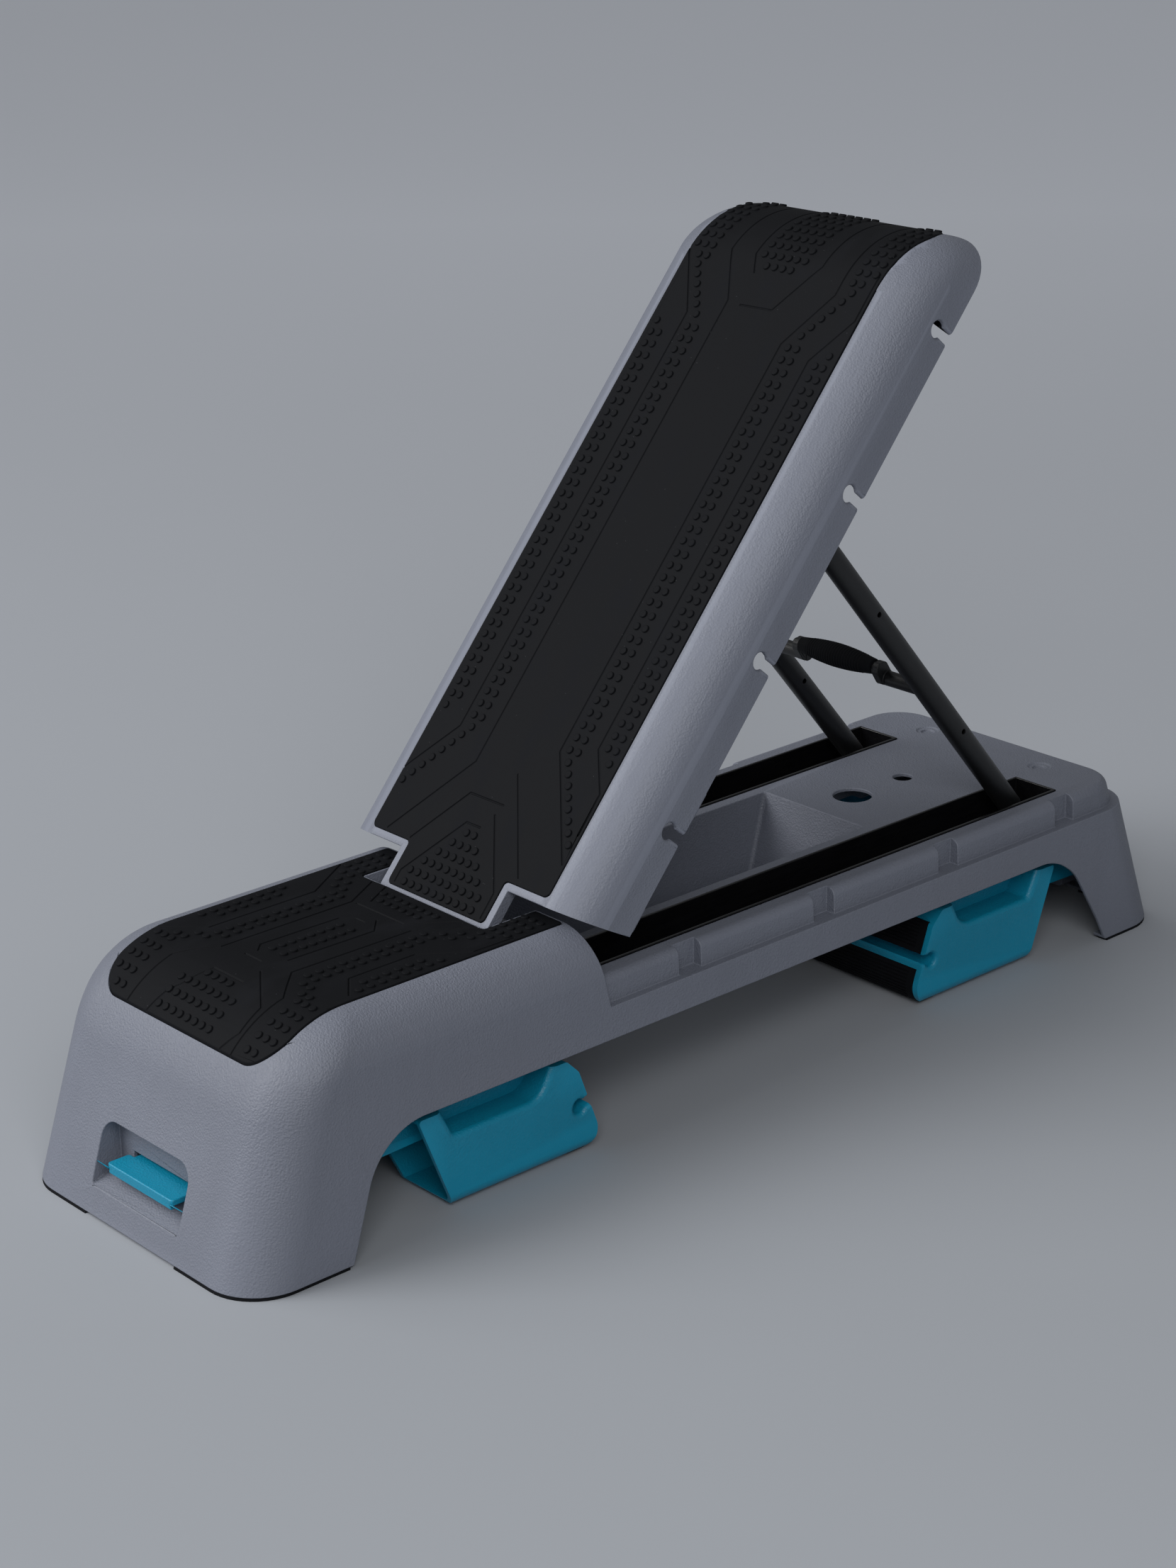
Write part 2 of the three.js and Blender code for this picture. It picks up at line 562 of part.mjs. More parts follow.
for (const dir of [1, -1]) {
  const end = endName(dir);
  const shift = dir > 0 ? 0 : REAR_PIVOT_E - FRONT_PIVOT_E;
  const place = (body) => turned(body.translate([shift, 0, 0]), dir);
  add(`${end}_leg_shell`, place(legShell()), tealPlastic);
  add(`${end}_leg_upper_pad`, place(legPad(true)), rubber);
  add(`${end}_leg_lower_pad`, place(legPad(false)), rubber);
  add(`${end}_leg_pin`, barY(pivotX(dir), LEG_PIVOT_Z, -124, 124, PIN_R, 16), zincSteel);
  for (const [side, name] of sides) {
    add(`${end}_leg_bush_${name}`,
      sleeve(pivotX(dir), LEG_PIVOT_Z, ...spanY(side, 103, 113), BUSH_R, PIN_R + GAP), blackPlastic);
    const springX = [dir > 0 ? 98.3 : 58.3, dir > 0 ? 129.7 : 89.7].map((e) => dir * (e - HALF_LENGTH));
    const coil = (radius, over) => bar(
      [springX[0] - dir * over, side * 30, 45], [springX[1] + dir * over, side * 30, 45], radius, 12);
    add(`${end}_latch_spring_${name}`, coil(5, 0).subtract(coil(3.4, 5)), zincSteel);
  }
  add(`${end}_latch`, latch(dir), tealPlastic);
}

// ---------------------------------------------------------------- backrest, drawn laid flat
const SKIRT_Z = LEDGE_Z + 1;
const SKIRT_INSET = 1.2;

const backForm = (grow, z0 = SKIRT_Z) => form({
  grow: grow - SKIRT_INSET, z0, top: SHELL_TOP + SKIRT_INSET, edge: TOP_R + SKIRT_INSET,
  frontX: -260, headInset: BACK_HEAD_INSET - SKIRT_INSET,
});

const shoulderZone = (shrink) => prismY([
  [BACK_FRONT_X + (SHELL_TOP - 100) * SEAT_SWEEP + shrink, 100], [700, 100], [700, 260],
  [BACK_FRONT_X + (SHELL_TOP - 260) * SEAT_SWEEP + shrink, 260],
], -250, 250);

const tongue = (grow, z0) => prismZ([
  [TONGUE_X - grow, -TONGUE_HALF_WIDTH - grow, 6], [-130, -TONGUE_HALF_WIDTH - grow],
  [-130, TONGUE_HALF_WIDTH + grow], [TONGUE_X - grow, TONGUE_HALF_WIDTH + grow, 6]], z0, 230);

function backMatField(grow) {
  const shoulder = BACK_FRONT_X + BORDER - grow;
  const tip = TONGUE_X + BORDER - grow;
  const w = MAT_HALF_WIDTH + grow;
  const tongueW = TONGUE_HALF_WIDTH - BORDER + grow;
  return prismZ([
    [shoulder, -w, 6], [BACK_MAT_HEAD_X + grow, -w, 28], [BACK_MAT_HEAD_X + grow, w, 28], [shoulder, w, 6],
    [shoulder, tongueW, 4], [tip, tongueW, 5], [tip, -tongueW, 5], [shoulder, -tongueW, 4],
  ], 120, 260);
}

function hook(x) {
  const z = SKIRT_Z + 16.5;
  const keyhole = join(barY(x, z, -200, 200, 7.5, 16), box(x - 4.5, x + 4.5, -200, 200, 100, z));
  return keyhole.subtract(box(-600, 600, -138, 138, 0, 400));
}

function backrestShell() {
  const outer = join(backForm(0).intersect(shoulderZone(0)),
    backForm(0, 100).intersect(tongue(0, TONGUE_UNDER_Z)));
  const hollow = backForm(-WALL, 100).intersect(join(
    shoulderZone(WALL), box(-300, 0, -160, 160, 0, DECK_Z + 2.5)));
  const [ribLow, ribTop] = [SHELL_TOP - 15, SHELL_TOP - WALL];
  const crossRibs = [-60, 60, 340, 430].map((x) => box(x, x + 3, -135, 135, ribLow, ribTop));
  const ribs = join(mirrored(-140, 470, 48, 51, ribLow, ribTop), ...crossRibs).intersect(backForm(-1, 100));
  const front = backForm(0, 100).intersect(tongue(0, TONGUE_UNDER_Z))
    .intersect(box(-300, -140, -200, 200, 0, 300));
  const hooks = [0, 1, 2, 3].map((k) => hook(POCKET_FIRST_X + k * POCKET_PITCH));
  const matBed = backForm(8, 100).subtract(backForm(MAT_PROUD - MAT_THICK - GAP, 100))
    .intersect(backMatField(GAP));
  return cut(join(outer.subtract(hollow), ribs, front), matBed, ...hooks,
    box(-260, -120, -63, 63, 100, TONGUE_UNDER_Z));
}

const backrestMat = () => backForm(MAT_PROUD, 100).subtract(backForm(MAT_PROUD - MAT_THICK, 100))
  .intersect(backMatField(0));

function hingeLeaf() {
  const knuckle = barY(PIVOT_X, PIVOT_Z, -60, 60, 9.5, 16);
  const leaf = box(PIVOT_X, -146, -60, 60, TONGUE_UNDER_Z - 4, TONGUE_UNDER_Z - GAP);
  return join(knuckle, leaf).subtract(barY(PIVOT_X, PIVOT_Z, -70, 70, PIN_R + GAP, 16));
}

const BRACKET_TOP = SHELL_TOP - WALL - 1;

function axleBracket(side) {
  const plate = prismY([
    [AXLE_X - 14, AXLE_Z - 14, 13], [AXLE_X + 14, AXLE_Z - 14, 13],
    [AXLE_X + 30, BRACKET_TOP], [AXLE_X - 30, BRACKET_TOP],
  ], ...spanY(side, 115, 118));
  const flange = box(AXLE_X - 30, AXLE_X + 30, ...spanY(side, 94, 118), BRACKET_TOP - 3, BRACKET_TOP);
  return join(plate, flange).subtract(barY(AXLE_X, AXLE_Z, -130, 130, 5 + GAP, 16));
}

const backrest = new THREE.Group();
backrest.position.set(PIVOT_X, 0, PIVOT_Z);
backrest.rotation.y = -TILT;

function addToBackrest(name, body, material) {
  add(name, body.translate([-PIVOT_X, 0, -PIVOT_Z]), material);
  backrest.add(meshes.pop());
}

addToBackrest('backrest_shell', backrestShell(), greyPlastic);
addToBackrest('backrest_mat', backrestMat(), rubber);
addToBackrest('hinge_leaf', hingeLeaf(), blackSteel);
addToBackrest('prop_axle', barY(AXLE_X, AXLE_Z, -124, 124, 5, 12), zincSteel);
for (const [side, name] of sides) {
  addToBackrest(`axle_bracket_${name}`, axleBracket(side), blackSteel);
  for (const [at, x] of [['front', AXLE_X - 22], ['rear', AXLE_X + 22]]) {
    const seat = BRACKET_TOP - 3 - GAP;
    const screw = bar([x, side * 104, seat - 2.4], [x, side * 104, seat], 4.5, 12);
    addToBackrest(`bracket_screw_${at}_${name}`, screw, zincSteel);
  }
}

// ---------------------------------------------------------------- prop
const unit = [footPoint(0)[0] - axleAt(0)[0], footPoint(0)[1] - axleAt(0)[1]].map((v) => v / PROP_LENGTH);
const along = (distance) => [axleAt(0)[0] + unit[0] * distance, axleAt(0)[1] + unit[1] * distance];

function propTube(side) {
  const [a, b] = [along(-13), along(PROP_LENGTH - 12)];
  const y = side * PROP_Y;
  const skin = bar([a[0], y, a[1]], [b[0], y, b[1]], TUBE_R, 16);
  const [c, d] = [along(-20), along(PROP_LENGTH)];
  const bore = bar([c[0], y, c[1]], [d[0], y, d[1]], TUBE_R - 1.7, 16);
  return cut(skin, bore, barY(...axleAt(0), -130, 130, 5 + GAP, 12));
}

function propFoot(side) {
  const y = side * PROP_Y;
  const plugTop = along(PROP_LENGTH - 36);
  const plug = bar([plugTop[0], y, plugTop[1]], [PROP_FOOT[0], y, PROP_FOOT[1]], TUBE_R - 2, 16);
  return join(plug, barY(...PROP_FOOT, ...spanY(side, 84, 118), 10, 16));
}

const HANDLE_AT = 275; // along the prop from its axle
const HANDLE_RISE = 15;

function handleBar() {
  const low = along(HANDLE_AT);
  const high = along(HANDLE_AT - HANDLE_RISE);
  const rod = barY(...high, -54, 54, 5, 12);
  const ends = sides.map(([side]) => join(
    barY(...low, ...spanY(side, 46.5, PROP_Y - TUBE_R - GAP), 7, 12),
    prismY([
      [high[0] - 8, high[1], 6], [high[0] + 6, high[1] + 7, 5],
      [low[0] + 8, low[1], 6], [low[0] - 6, low[1] - 7, 5],
    ], ...spanY(side, 46.5, 54))));
  return join(rod, ...ends);
}

function grip() {
  const profile = [[5 + GAP, -46], [7.5, -46]];
  for (let k = 1; k < 8; k++) {
    profile.push([7.5 + 3.9 * Math.sin((Math.PI * k) / 8), -46 + (92 * k) / 8]);
  }
  profile.push([7.5, 46], [5 + GAP, 46], [5 + GAP, -46]);
  const [x, z] = along(HANDLE_AT - HANDLE_RISE);
  return solid(new THREE.LatheGeometry(profile.map((p) => new THREE.Vector2(...p)), 14).translate(x, 0, z));
}

for (const [side, name] of sides) {
  add(`prop_tube_${name}`, propTube(side), blackSteel);
  add(`prop_foot_${name}`, propFoot(side), blackPlastic);
}
const spacerEnd = PROP_Y - TUBE_R - GAP;
add('prop_spacer', sleeve(...axleAt(0), -spacerEnd, spacerEnd, 8.5, 5 + GAP), blackSteel);
add('prop_handle_bar', handleBar(), blackSteel);
add('prop_grip', grip(), rubber);

// ---------------------------------------------------------------- group
const deck = new THREE.Group();
deck.add(...meshes, backrest);
export default deck;
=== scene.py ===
"""Visual model of a workout deck with a folding slant board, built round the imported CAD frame.

Shapes are drawn in millimetres, +Z up, X from the seat end (-) to the head end (+), and are scaled
to metres when they become pieces. Backrest pieces are drawn laid flat and turned up to their place.
"""

import json
import math

import bmesh
import bpy
from mathutils import Matrix, Vector


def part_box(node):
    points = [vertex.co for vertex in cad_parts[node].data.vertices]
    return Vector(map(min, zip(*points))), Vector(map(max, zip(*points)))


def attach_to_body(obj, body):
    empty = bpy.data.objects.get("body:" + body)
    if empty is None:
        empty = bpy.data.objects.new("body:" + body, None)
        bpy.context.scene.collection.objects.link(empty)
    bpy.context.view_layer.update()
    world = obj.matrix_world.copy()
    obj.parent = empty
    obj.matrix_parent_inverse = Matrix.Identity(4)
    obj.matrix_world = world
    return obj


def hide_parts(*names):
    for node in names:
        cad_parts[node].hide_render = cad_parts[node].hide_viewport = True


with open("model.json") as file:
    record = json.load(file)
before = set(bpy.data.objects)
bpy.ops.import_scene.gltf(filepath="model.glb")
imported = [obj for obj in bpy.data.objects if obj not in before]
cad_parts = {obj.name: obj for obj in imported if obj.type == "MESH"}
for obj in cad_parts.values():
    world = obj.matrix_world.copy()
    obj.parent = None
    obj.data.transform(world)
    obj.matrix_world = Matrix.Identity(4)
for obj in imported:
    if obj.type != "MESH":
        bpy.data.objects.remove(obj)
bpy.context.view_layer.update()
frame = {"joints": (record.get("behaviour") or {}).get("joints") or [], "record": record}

# ---- dimensions
rad = math.radians
MM = 0.001
TO_METRES = Matrix.Diagonal((MM, MM, MM, 1))
JOINT_AT = {joint["name"]: Vector(joint["pos_m"]) / MM for joint in frame["joints"] if "pos_m" in joint}

HALF_LENGTH = 550
HALF_WIDTH = 159.4
END_LEAN = rad(17.7)
SIDE_LEAN = rad(2.03)
CORNER_R = 48
TOP_R = 42
END_R = 98
WALL = 3.5
SHELL_TOP = 199.4
MAT_THICK = 3.1
MAT_PROUD = 1
MAT_TOP = SHELL_TOP + MAT_PROUD
MAT_HALF_WIDTH = 114.7
FOOT_Z = 2.7
FLANGE = 14
LEDGE_Z = 132.3
LEDGE_WIDTH = 8
DECK_Z = 156
SEAT_REAR_X = -184
SEAT_SWEEP = 0.2
RECESS_FRONT_X = -240
RECESS_HALF_WIDTH = 78.5
SLOT_Y = (76, 126)
SLOT_X = (-165, 419)
SLOT_FLOOR_Z = 118
POCKET_HALF = 12.6
POCKET_XS = [-73.9 + 160.26 * k for k in range(4)]
BIN_TOP = (-150, 223.5, 64)
BIN_BOTTOM = (-138, 188, 58)
BIN_FLOOR = 50
NOTCH_BORDER = 2.5
SEAT_MAT_FRONT_X = -489
BACK_MAT_HEAD_X = 500
BACK_FRONT_X = -177.5
TONGUE_X = -217.5
TONGUE_HALF_WIDTH = 70
TONGUE_UNDER_Z = 189
BORDER = 7.3

TILT = rad(49.35)
PIVOT = JOINT_AT["backrest_hinge"]
AXLE = (225.5, 158)  # laid flat
LEG_PIVOT = JOINT_AT["front_leg_hinge"]
PIN_R = 6
BUSH_R = 9
AXLE_R = 5
FIT = 0.3  # gap round a part that turns or is set in
ROUND_SIDES = 48
SIDES = ((1, "left"), (-1, "right"))
ENDS = ((1, "front"), (-1, "rear"))


# ---- shape helpers
def placed(name, data):
    made = bpy.data.objects.new(name, data)
    bpy.context.scene.collection.objects.link(made)
    return made


class Solid:
    """Closed mesh in millimetres that can be joined (+), cut (-) and clipped (&)."""

    def __init__(self, mesh):
        self.mesh = mesh

    def combined(self, other, operation):
        things = [placed("work", mesh) for mesh in (self.mesh, other.mesh)]
        modifier = things[0].modifiers.new("boolean", "BOOLEAN")
        modifier.object = things[1]
        modifier.operation = operation
        modifier.solver = "MANIFOLD"
        depsgraph = bpy.context.evaluated_depsgraph_get()
        mesh = bpy.data.meshes.new_from_object(things[0].evaluated_get(depsgraph))
        for thing in things:
            bpy.data.objects.remove(thing)
        if not mesh.polygons:
            raise RuntimeError(f"{operation} left nothing")
        return Solid(mesh)

    def __add__(self, other):
        return self.combined(other, "UNION")

    def __sub__(self, other):
        return self.combined(other, "DIFFERENCE")

    def __and__(self, other):
        return self.combined(other, "INTERSECT")

    def moved(self, matrix):
        mesh = self.mesh.copy()
        mesh.transform(matrix)
        if matrix.determinant() < 0:
            mesh.flip_normals()
        return Solid(mesh)


def join(*parts):
    whole = parts[0]
    for part in parts[1:]:
        whole = whole + part
    return whole


def cut(body, *tools):
    for tool in tools:
        body = body - tool
    return body


def closed(points, faces):
    mesh = bpy.data.meshes.new("shape")
    mesh.from_pydata(points, [], faces)
    working = bmesh.new()
    working.from_mesh(mesh)
    if working.calc_volume(signed=True) < 0:
        bmesh.ops.reverse_faces(working, faces=working.faces)
    working.to_mesh(mesh)
    working.free()
    return Solid(mesh)


def stack_faces(count, levels, first=0):
    """Faces that close a stack of rings, each of count points, numbered from first."""
    top = first + (levels - 1) * count
    faces = [list(range(first, first + count))[::-1], list(range(top, top + count))]
    for start in range(first, top, count):
        for k in range(count):
            a, b = start + k, start + (k + 1) % count
            faces.append((a, b, b + count, a + count))
    return faces


def loft(rings):
    """Closed stack of equal rings of points."""
    points = [point for ring_points in rings for point in ring_points]
    return closed(points, stack_faces(len(rings[0]), len(rings)))


def outline(corners, step=6):
    """Polygon corners (x, y, radius) as points, with each radius as an arc."""
    points = []
    for i, corner in enumerate(corners):
        at = Vector(corner[:2])
        radius = corner[2] if len(corner) > 2 else 0
        a = (Vector(corners[i - 1][:2]) - at).normalized()
        b = (Vector(corners[(i + 1) % len(corners)][:2]) - at).normalized()
        half = math.acos(max(-1, min(1, a.dot(b)))) / 2
        if not radius or math.pi / 2 - half < 0.02:
            points.append(at)
            continue
        centre = at + (a + b).normalized() * radius / math.sin(half)
        start = at + a * radius / math.tan(half) - centre
        end = at + b * radius / math.tan(half) - centre
        turn = math.atan2(start.x * end.y - start.y * end.x, start.dot(end))
        count = max(1, math.ceil(abs(turn) / rad(step)))
        points += [centre + Matrix.Rotation(turn * k / count, 2) @ start for k in range(count + 1)]
    return points


PLANES = {
    "X": lambda u, v, w: (w, u, v),
    "Y": lambda u, v, w: (u, w, v),
    "Z": lambda u, v, w: (u, v, w),
}


def prism(axis, corners, low, high, step=6):
    """Outline in the plane across an axis, from low to high along it."""
    points = outline(corners, step)
    return loft([[PLANES[axis](*point, w) for point in points] for w in (low, high)])


def box(x0, x1, y0, y1, z0, z1):
    return prism("Z", [(x0, y0), (x1, y0), (x1, y1), (x0, y1)], z0, z1)


def slab(x0, x1, z0, z1):
    """Block that is wider than the object."""
    return box(x0, x1, -200, 200, z0, z1)


def span_y(side, y0, y1):
    return (y0, y1) if side > 0 else (-y1, -y0)


def both(x0, x1, y0, y1, z0, z1):
    return join(*(box(x0, x1, *span_y(side, y0, y1), z0, z1) for side, _ in SIDES))


def plates(corners, y0, y1, step=6):
    """The same outline in X and Z on both sides, as two prisms."""
    return [prism("Y", corners, *span_y(side, y0, y1), step) for side, _ in SIDES]


def symmetric(half):
    """Corners on one side of the middle line, closed with their mirror images."""
    return half + [(x, -y, *radius) for x, y, *radius in half[::-1]]


def from_end(corners):
    """Corners whose X is measured from the deck's end."""
    return [(corner[0] - HALF_LENGTH, *corner[1:]) for corner in corners]


def around(radius, angle, z):
    return Vector((radius * math.cos(angle), radius * math.sin(angle), z))


def lathe(start, axis, profile):
    """Turned shape: the profile gives (distance along the axis, radius)."""
    turn = Vector((0, 0, 1)).rotation_difference(Vector(axis).normalized())
    return loft([[Vector(start) + turn @ around(radius, math.tau * k / ROUND_SIDES, distance)
                  for k in range(ROUND_SIDES)] for distance, radius in profile])


def bar(start, end, radius):
    along = Vector(end) - Vector(start)
    return lathe(start, along, [(0, radius), (along.length, radius)])


def rod(start, end, radius, chamfer=0.6):
    """Bar whose ends are rounded off."""
    along = Vector(end) - Vector(start)
    rim = [(0, radius - chamfer), (chamfer * 0.3, radius - chamfer * 0.3), (chamfer, radius)]
    return lathe(start, along, rim + [(along.length - distance, r) for distance, r in rim[::-1]])


def bar_y(x, z, y0, y1, radius):
    return bar((x, y0, z), (x, y1, z), radius)


def sleeve(x, z, y0, y1, outer, inner):
    return rod((x, y0, z), (x, y1, z), outer, 0.5) - bar_y(x, z, y0 - 5, y1 + 5, inner)


def flared(outline_at, side, depth, skin, radius):
    """Hole along Y, from a depth up to the skin, whose outer edge rolls over with a radius.

    outline_at(grow) gives its outline in X and Z, with as many points for every growth.
    """
    steps = [(depth, 0)]
    for k in range(6):
        angle = rad(15 * k)
        steps.append((skin - radius + radius * math.sin(angle), radius - radius * math.cos(angle)))
    steps.append((skin + radius * 0.5, radius * 2.6))
    return loft([[(x, side * y, z) for x, z in outline_at(grow)] for y, grow in steps])


CORNER_STEPS = 12


def ring(z, x0, x1, half_width, front_r, rear_r):
    """Rectangle with rounded corners at height z; rear and front corners may differ."""
    corners = ((x0, -half_width, front_r, 180), (x1, -half_width, rear_r, 270),
               (x1, half_width, rear_r, 0), (x0, half_width, front_r, 90))
    points = []
    for x, y, radius, start in corners:
        centre = (x + math.copysign(radius, (x0 + x1) / 2 - x), y - math.copysign(radius, y))
        for k in range(CORNER_STEPS + 1):
            angle = rad(start + 90 * k / CORNER_STEPS)
            points.append((centre[0] + radius * math.cos(angle), centre[1] + radius * math.sin(angle), z))
    return points


def roll_centre(ground, lean, top, radius):
    """Distance out at which a leaning face's rolled edge has its centre."""
    tangent_z = top - radius + radius * math.sin(lean)
    return ground - tangent_z * math.tan(lean) - radius * math.cos(lean)


def extent(ground, lean, top, radius, z):
    """Half extent at height z of a leaning face that rolls over into a flat top."""
    if z <= top - radius + radius * math.sin(lean):
        return ground - z * math.tan(lean)
    return roll_centre(ground, lean, top, radius) + math.sqrt(max(0, radius ** 2 - (z - top + radius) ** 2))


def form(grow=0, z0=-1, top=SHELL_TOP, edge=TOP_R, end_edge=END_R, front_x=None, head_inset=0):
    """The deck's outer form, grown, from z0 up to a top with rolled edges."""
    edge_r, end_r, top_z = max(1, edge + grow), max(1, end_edge + grow), top + grow
    ground_x = HALF_LENGTH + grow / math.cos(END_LEAN)
    ground_y = HALF_WIDTH + grow / math.cos(SIDE_LEAN)
    levels = [z0]
    rolls = [top_z - r + r * math.sin(lean + (math.pi / 2 - lean) * k / 14)
             for r, lean in ((end_r, END_LEAN), (edge_r, SIDE_LEAN)) for k in range(15)]
    for z in sorted(rolls):
        if z > levels[-1] + 0.2:
            levels.append(z)
    levels[-1] = top_z
    rings = []
    for z in levels:
        half_x = extent(ground_x, END_LEAN, top_z, end_r, z)
        half_y = extent(ground_y, SIDE_LEAN, top_z, edge_r, z)
        corner = max(3, CORNER_R + grow - (ground_y - z * math.tan(SIDE_LEAN) - half_y))
        front = -half_x if front_x is None else front_x
        rings.append(ring(z, front, half_x - head_inset, half_y, 0.5 if front_x else corner, corner))
    return loft(rings)


# ---- materials
def linear(code):
    """Scene colour from a display colour such as 0x7a8090."""
    channels = [(code >> shift & 255) / 255 for shift in (16, 8, 0)]
    return tuple(c / 12.92 if c <= 0.04045 else ((c + 0.055) / 1.055) ** 2.4 for c in channels) + (1,)


class Shader:
    """Principled material whose nodes are added with short calls."""

    def __init__(self, name):
        self.material = bpy.data.materials.new(name)
        self.material.use_nodes = True
        self.tree = self.material.node_tree
        self.surface = self.tree.nodes["Principled BSDF"]
        self.place = self.add("TexCoord", "Object")

    def add(self, kind, output, inputs=None, **settings):
        """Adds a node and gives its output."""
        made = self.tree.nodes.new("ShaderNode" + kind)
        for key, value in settings.items():
            setattr(made, key, value)
        for key, value in (inputs or {}).items():
            self.plug(made.inputs[key], value)
        return made.outputs[output]

    def plug(self, socket, value):
        if isinstance(value, bpy.types.NodeSocket):
            self.tree.links.new(value, socket)
        else:
            socket.default_value = value

    def set(self, **values):
        for key, value in values.items():
            self.plug(self.surface.inputs[key.replace("_", " ").title().replace("Ior", "IOR")], value)

    def noise(self, scale, detail, stretch=(1, 1, 1)):
        place = self.add("Mapping", "Vector", {"Vector": self.place, "Scale": stretch})
        return self.add("TexNoise", "Fac", {"Vector": place, "Scale": scale, "Detail": detail})

    def math(self, operation, a, b):
        return self.add("Math", 0, {0: a, 1: b}, operation=operation)

    def spread(self, value, low, high, to_low=0, to_high=1):
        return self.add("MapRange", "Result", {"Value": value, "From Min": low, "From Max": high,
                                               "To Min": to_low, "To Max": to_high})

    def mix(self, factor, a, b):
        return self.add("Mix", 2, {0: factor, 6: a, 7: b}, data_type="RGBA")

    def tones(self, colour, factor, share):
        return self.mix(share, colour, shaded(colour, factor))

    def bump(self, height, distance, strength, normal=None):
        inputs = {"Height": height, "Distance": distance, "Strength": strength}
        if normal:
            inputs["Normal"] = normal
        return self.add("Bump", "Normal", inputs)


def shaded(colour, factor):
    return tuple(min(1, c * factor) for c in colour[:3]) + (1,)


GRAIN_CELL = 0.0017
STREAKS = 0.06


def moulded(name, code, roughness, grain):
    """Injection-moulded plastic: leather grain, faint flow streaks, cloudy tone, and convex edges painted
    paler as a highlight, where the grain is also softer.
    """
    shader = Shader(name)
    colour = linear(code)
    cloud = shader.noise(7, 4)
    flow = shader.noise(90, 5, stretch=(1, 1, 0.06))
    tone = shader.math("ADD", shader.spread(cloud, 0.3, 0.7, 0, 0.7), shader.spread(flow, 0.3, 0.7, 0, 0.3))
    body = shader.mix(tone, shaded(colour, 1 - STREAKS), shaded(colour, 1 + STREAKS))
    # Painted highlight: convex edges, found by pointiness, are mixed towards a paler tone.
    edge = shader.spread(shader.add("NewGeometry", "Pointiness"), 0.515, 0.6, 0, 0.35)
    shader.set(base_color=shader.mix(edge, body, shaded(colour, 1.7)))
    warp = shader.add("TexNoise", "Color", {"Vector": shader.place, "Scale": 420, "Detail": 2})
    bent = shader.add("MixRGB", 0, {0: 0.0016, 1: shader.place, 2: warp}, blend_type="ADD")
    cells = shader.add("TexVoronoi", "Distance", {"Vector": bent, "Scale": 1 / GRAIN_CELL,
                                                  "Smoothness": 0.6}, feature="SMOOTH_F1")
    strength = shader.math("MULTIPLY", shader.spread(shader.noise(14, 2), 0.35, 0.65, 0.7, 1),
                           shader.spread(edge, 0.05, 0.3, 1, 0.25))
    rough = shader.spread(cells, 0.1, 0.7, roughness - 0.05, roughness + 0.08)
    shader.set(roughness=rough, normal=shader.bump(
        cells, grain, strength, shader.bump(shader.noise(900, 2), 0.00005, 0.5)))
    return shader.material


def moulded_rubber(name, code, roughness):
    """Matt moulded rubber with fine tooth, wiped smears and a little dust."""
    shader = Shader(name)
    colour = linear(code)
    smear = shader.spread(shader.noise(16, 6, stretch=(1, 2.2, 1)), 0.5, 0.72)
    dust_cells = shader.add("TexVoronoi", "Distance", {"Vector": shader.place, "Scale": 95})
    dust = shader.spread(dust_cells, 0.035, 0.02)
    body = shader.tones(colour, 1.45, smear)
    shader.set(base_color=shader.mix(shader.math("MULTIPLY", dust, 0.35), body, linear(0x77797D)),
               roughness=shader.spread(smear, 0, 1, roughness, roughness + 0.12),
               specular_ior_level=0.1,
               normal=shader.bump(shader.noise(1600, 3), 0.00006, 0.8,
                                  shader.bump(shader.noise(60, 2), 0.0004, 0.25)))
    return shader.material


def glossy(name, code, roughness):
    """Smooth black plastic with slight moulding waves and fine scratches."""
    shader = Shader(name)
    scratches = shader.noise(600, 3, stretch=(0.05, 1, 1))
    waves = shader.noise(45, 2)
    shader.set(base_color=shader.tones(linear(code), 1.5, shader.spread(scratches, 0.4, 0.7)),
               roughness=shader.spread(waves, 0.3, 0.7, roughness, roughness + 0.12),
               normal=shader.bump(scratches, 0.00002, 0.6, shader.bump(waves, 0.0005, 0.3)))
    return shader.material


def powder_coat(name, code, roughness):
    """Satin paint with a fine orange-peel texture."""
    shader = Shader(name)
    peel = shader.noise(1100, 2)
    shader.set(base_color=shader.tones(linear(code), 1.4, shader.spread(shader.noise(30, 4), 0.35, 0.65)),
               roughness=shader.spread(peel, 0.3, 0.7, roughness, roughness + 0.15),
               coat_weight=0.15, coat_roughness=0.4,
               normal=shader.bump(peel, 0.00008, 0.8))
    return shader.material


def plated(name, code, roughness):
    """Zinc-plated steel with fine drawing lines."""
    shader = Shader(name)
    lines = shader.noise(900, 3, stretch=(1, 0.05, 1))
    shader.set(base_color=shader.tones(linear(code), 0.75, shader.spread(shader.noise(40, 4), 0.4, 0.7)),
               metallic=1.0, roughness=shader.spread(lines, 0.3, 0.7, roughness, roughness + 0.2),
               normal=shader.bump(lines, 0.00002, 0.7))
    return shader.material


BODY_OF = {node: body for body, nodes in frame["record"]["behaviour"]["bodies"].items() for node in nodes}
FINISH = {
    "grey_plastic": moulded("grey_shell", 0x737783, 0.5, 0.0005),
    "teal_plastic": moulded("teal_shell", 0x0786A6, 0.4, 0.0004),
    "black_plastic": glossy("black_liner", 0x0B0B0D, 0.2),
    "rubber": moulded_rubber("mat_rubber", 0x121316, 0.66),
    "black_steel": powder_coat("black_tube", 0x0E0F11, 0.38),
    "zinc_steel": plated("zinc", 0xB4B8BC, 0.28),
}


# ---- pieces
SHARP_ANGLE = rad(32)


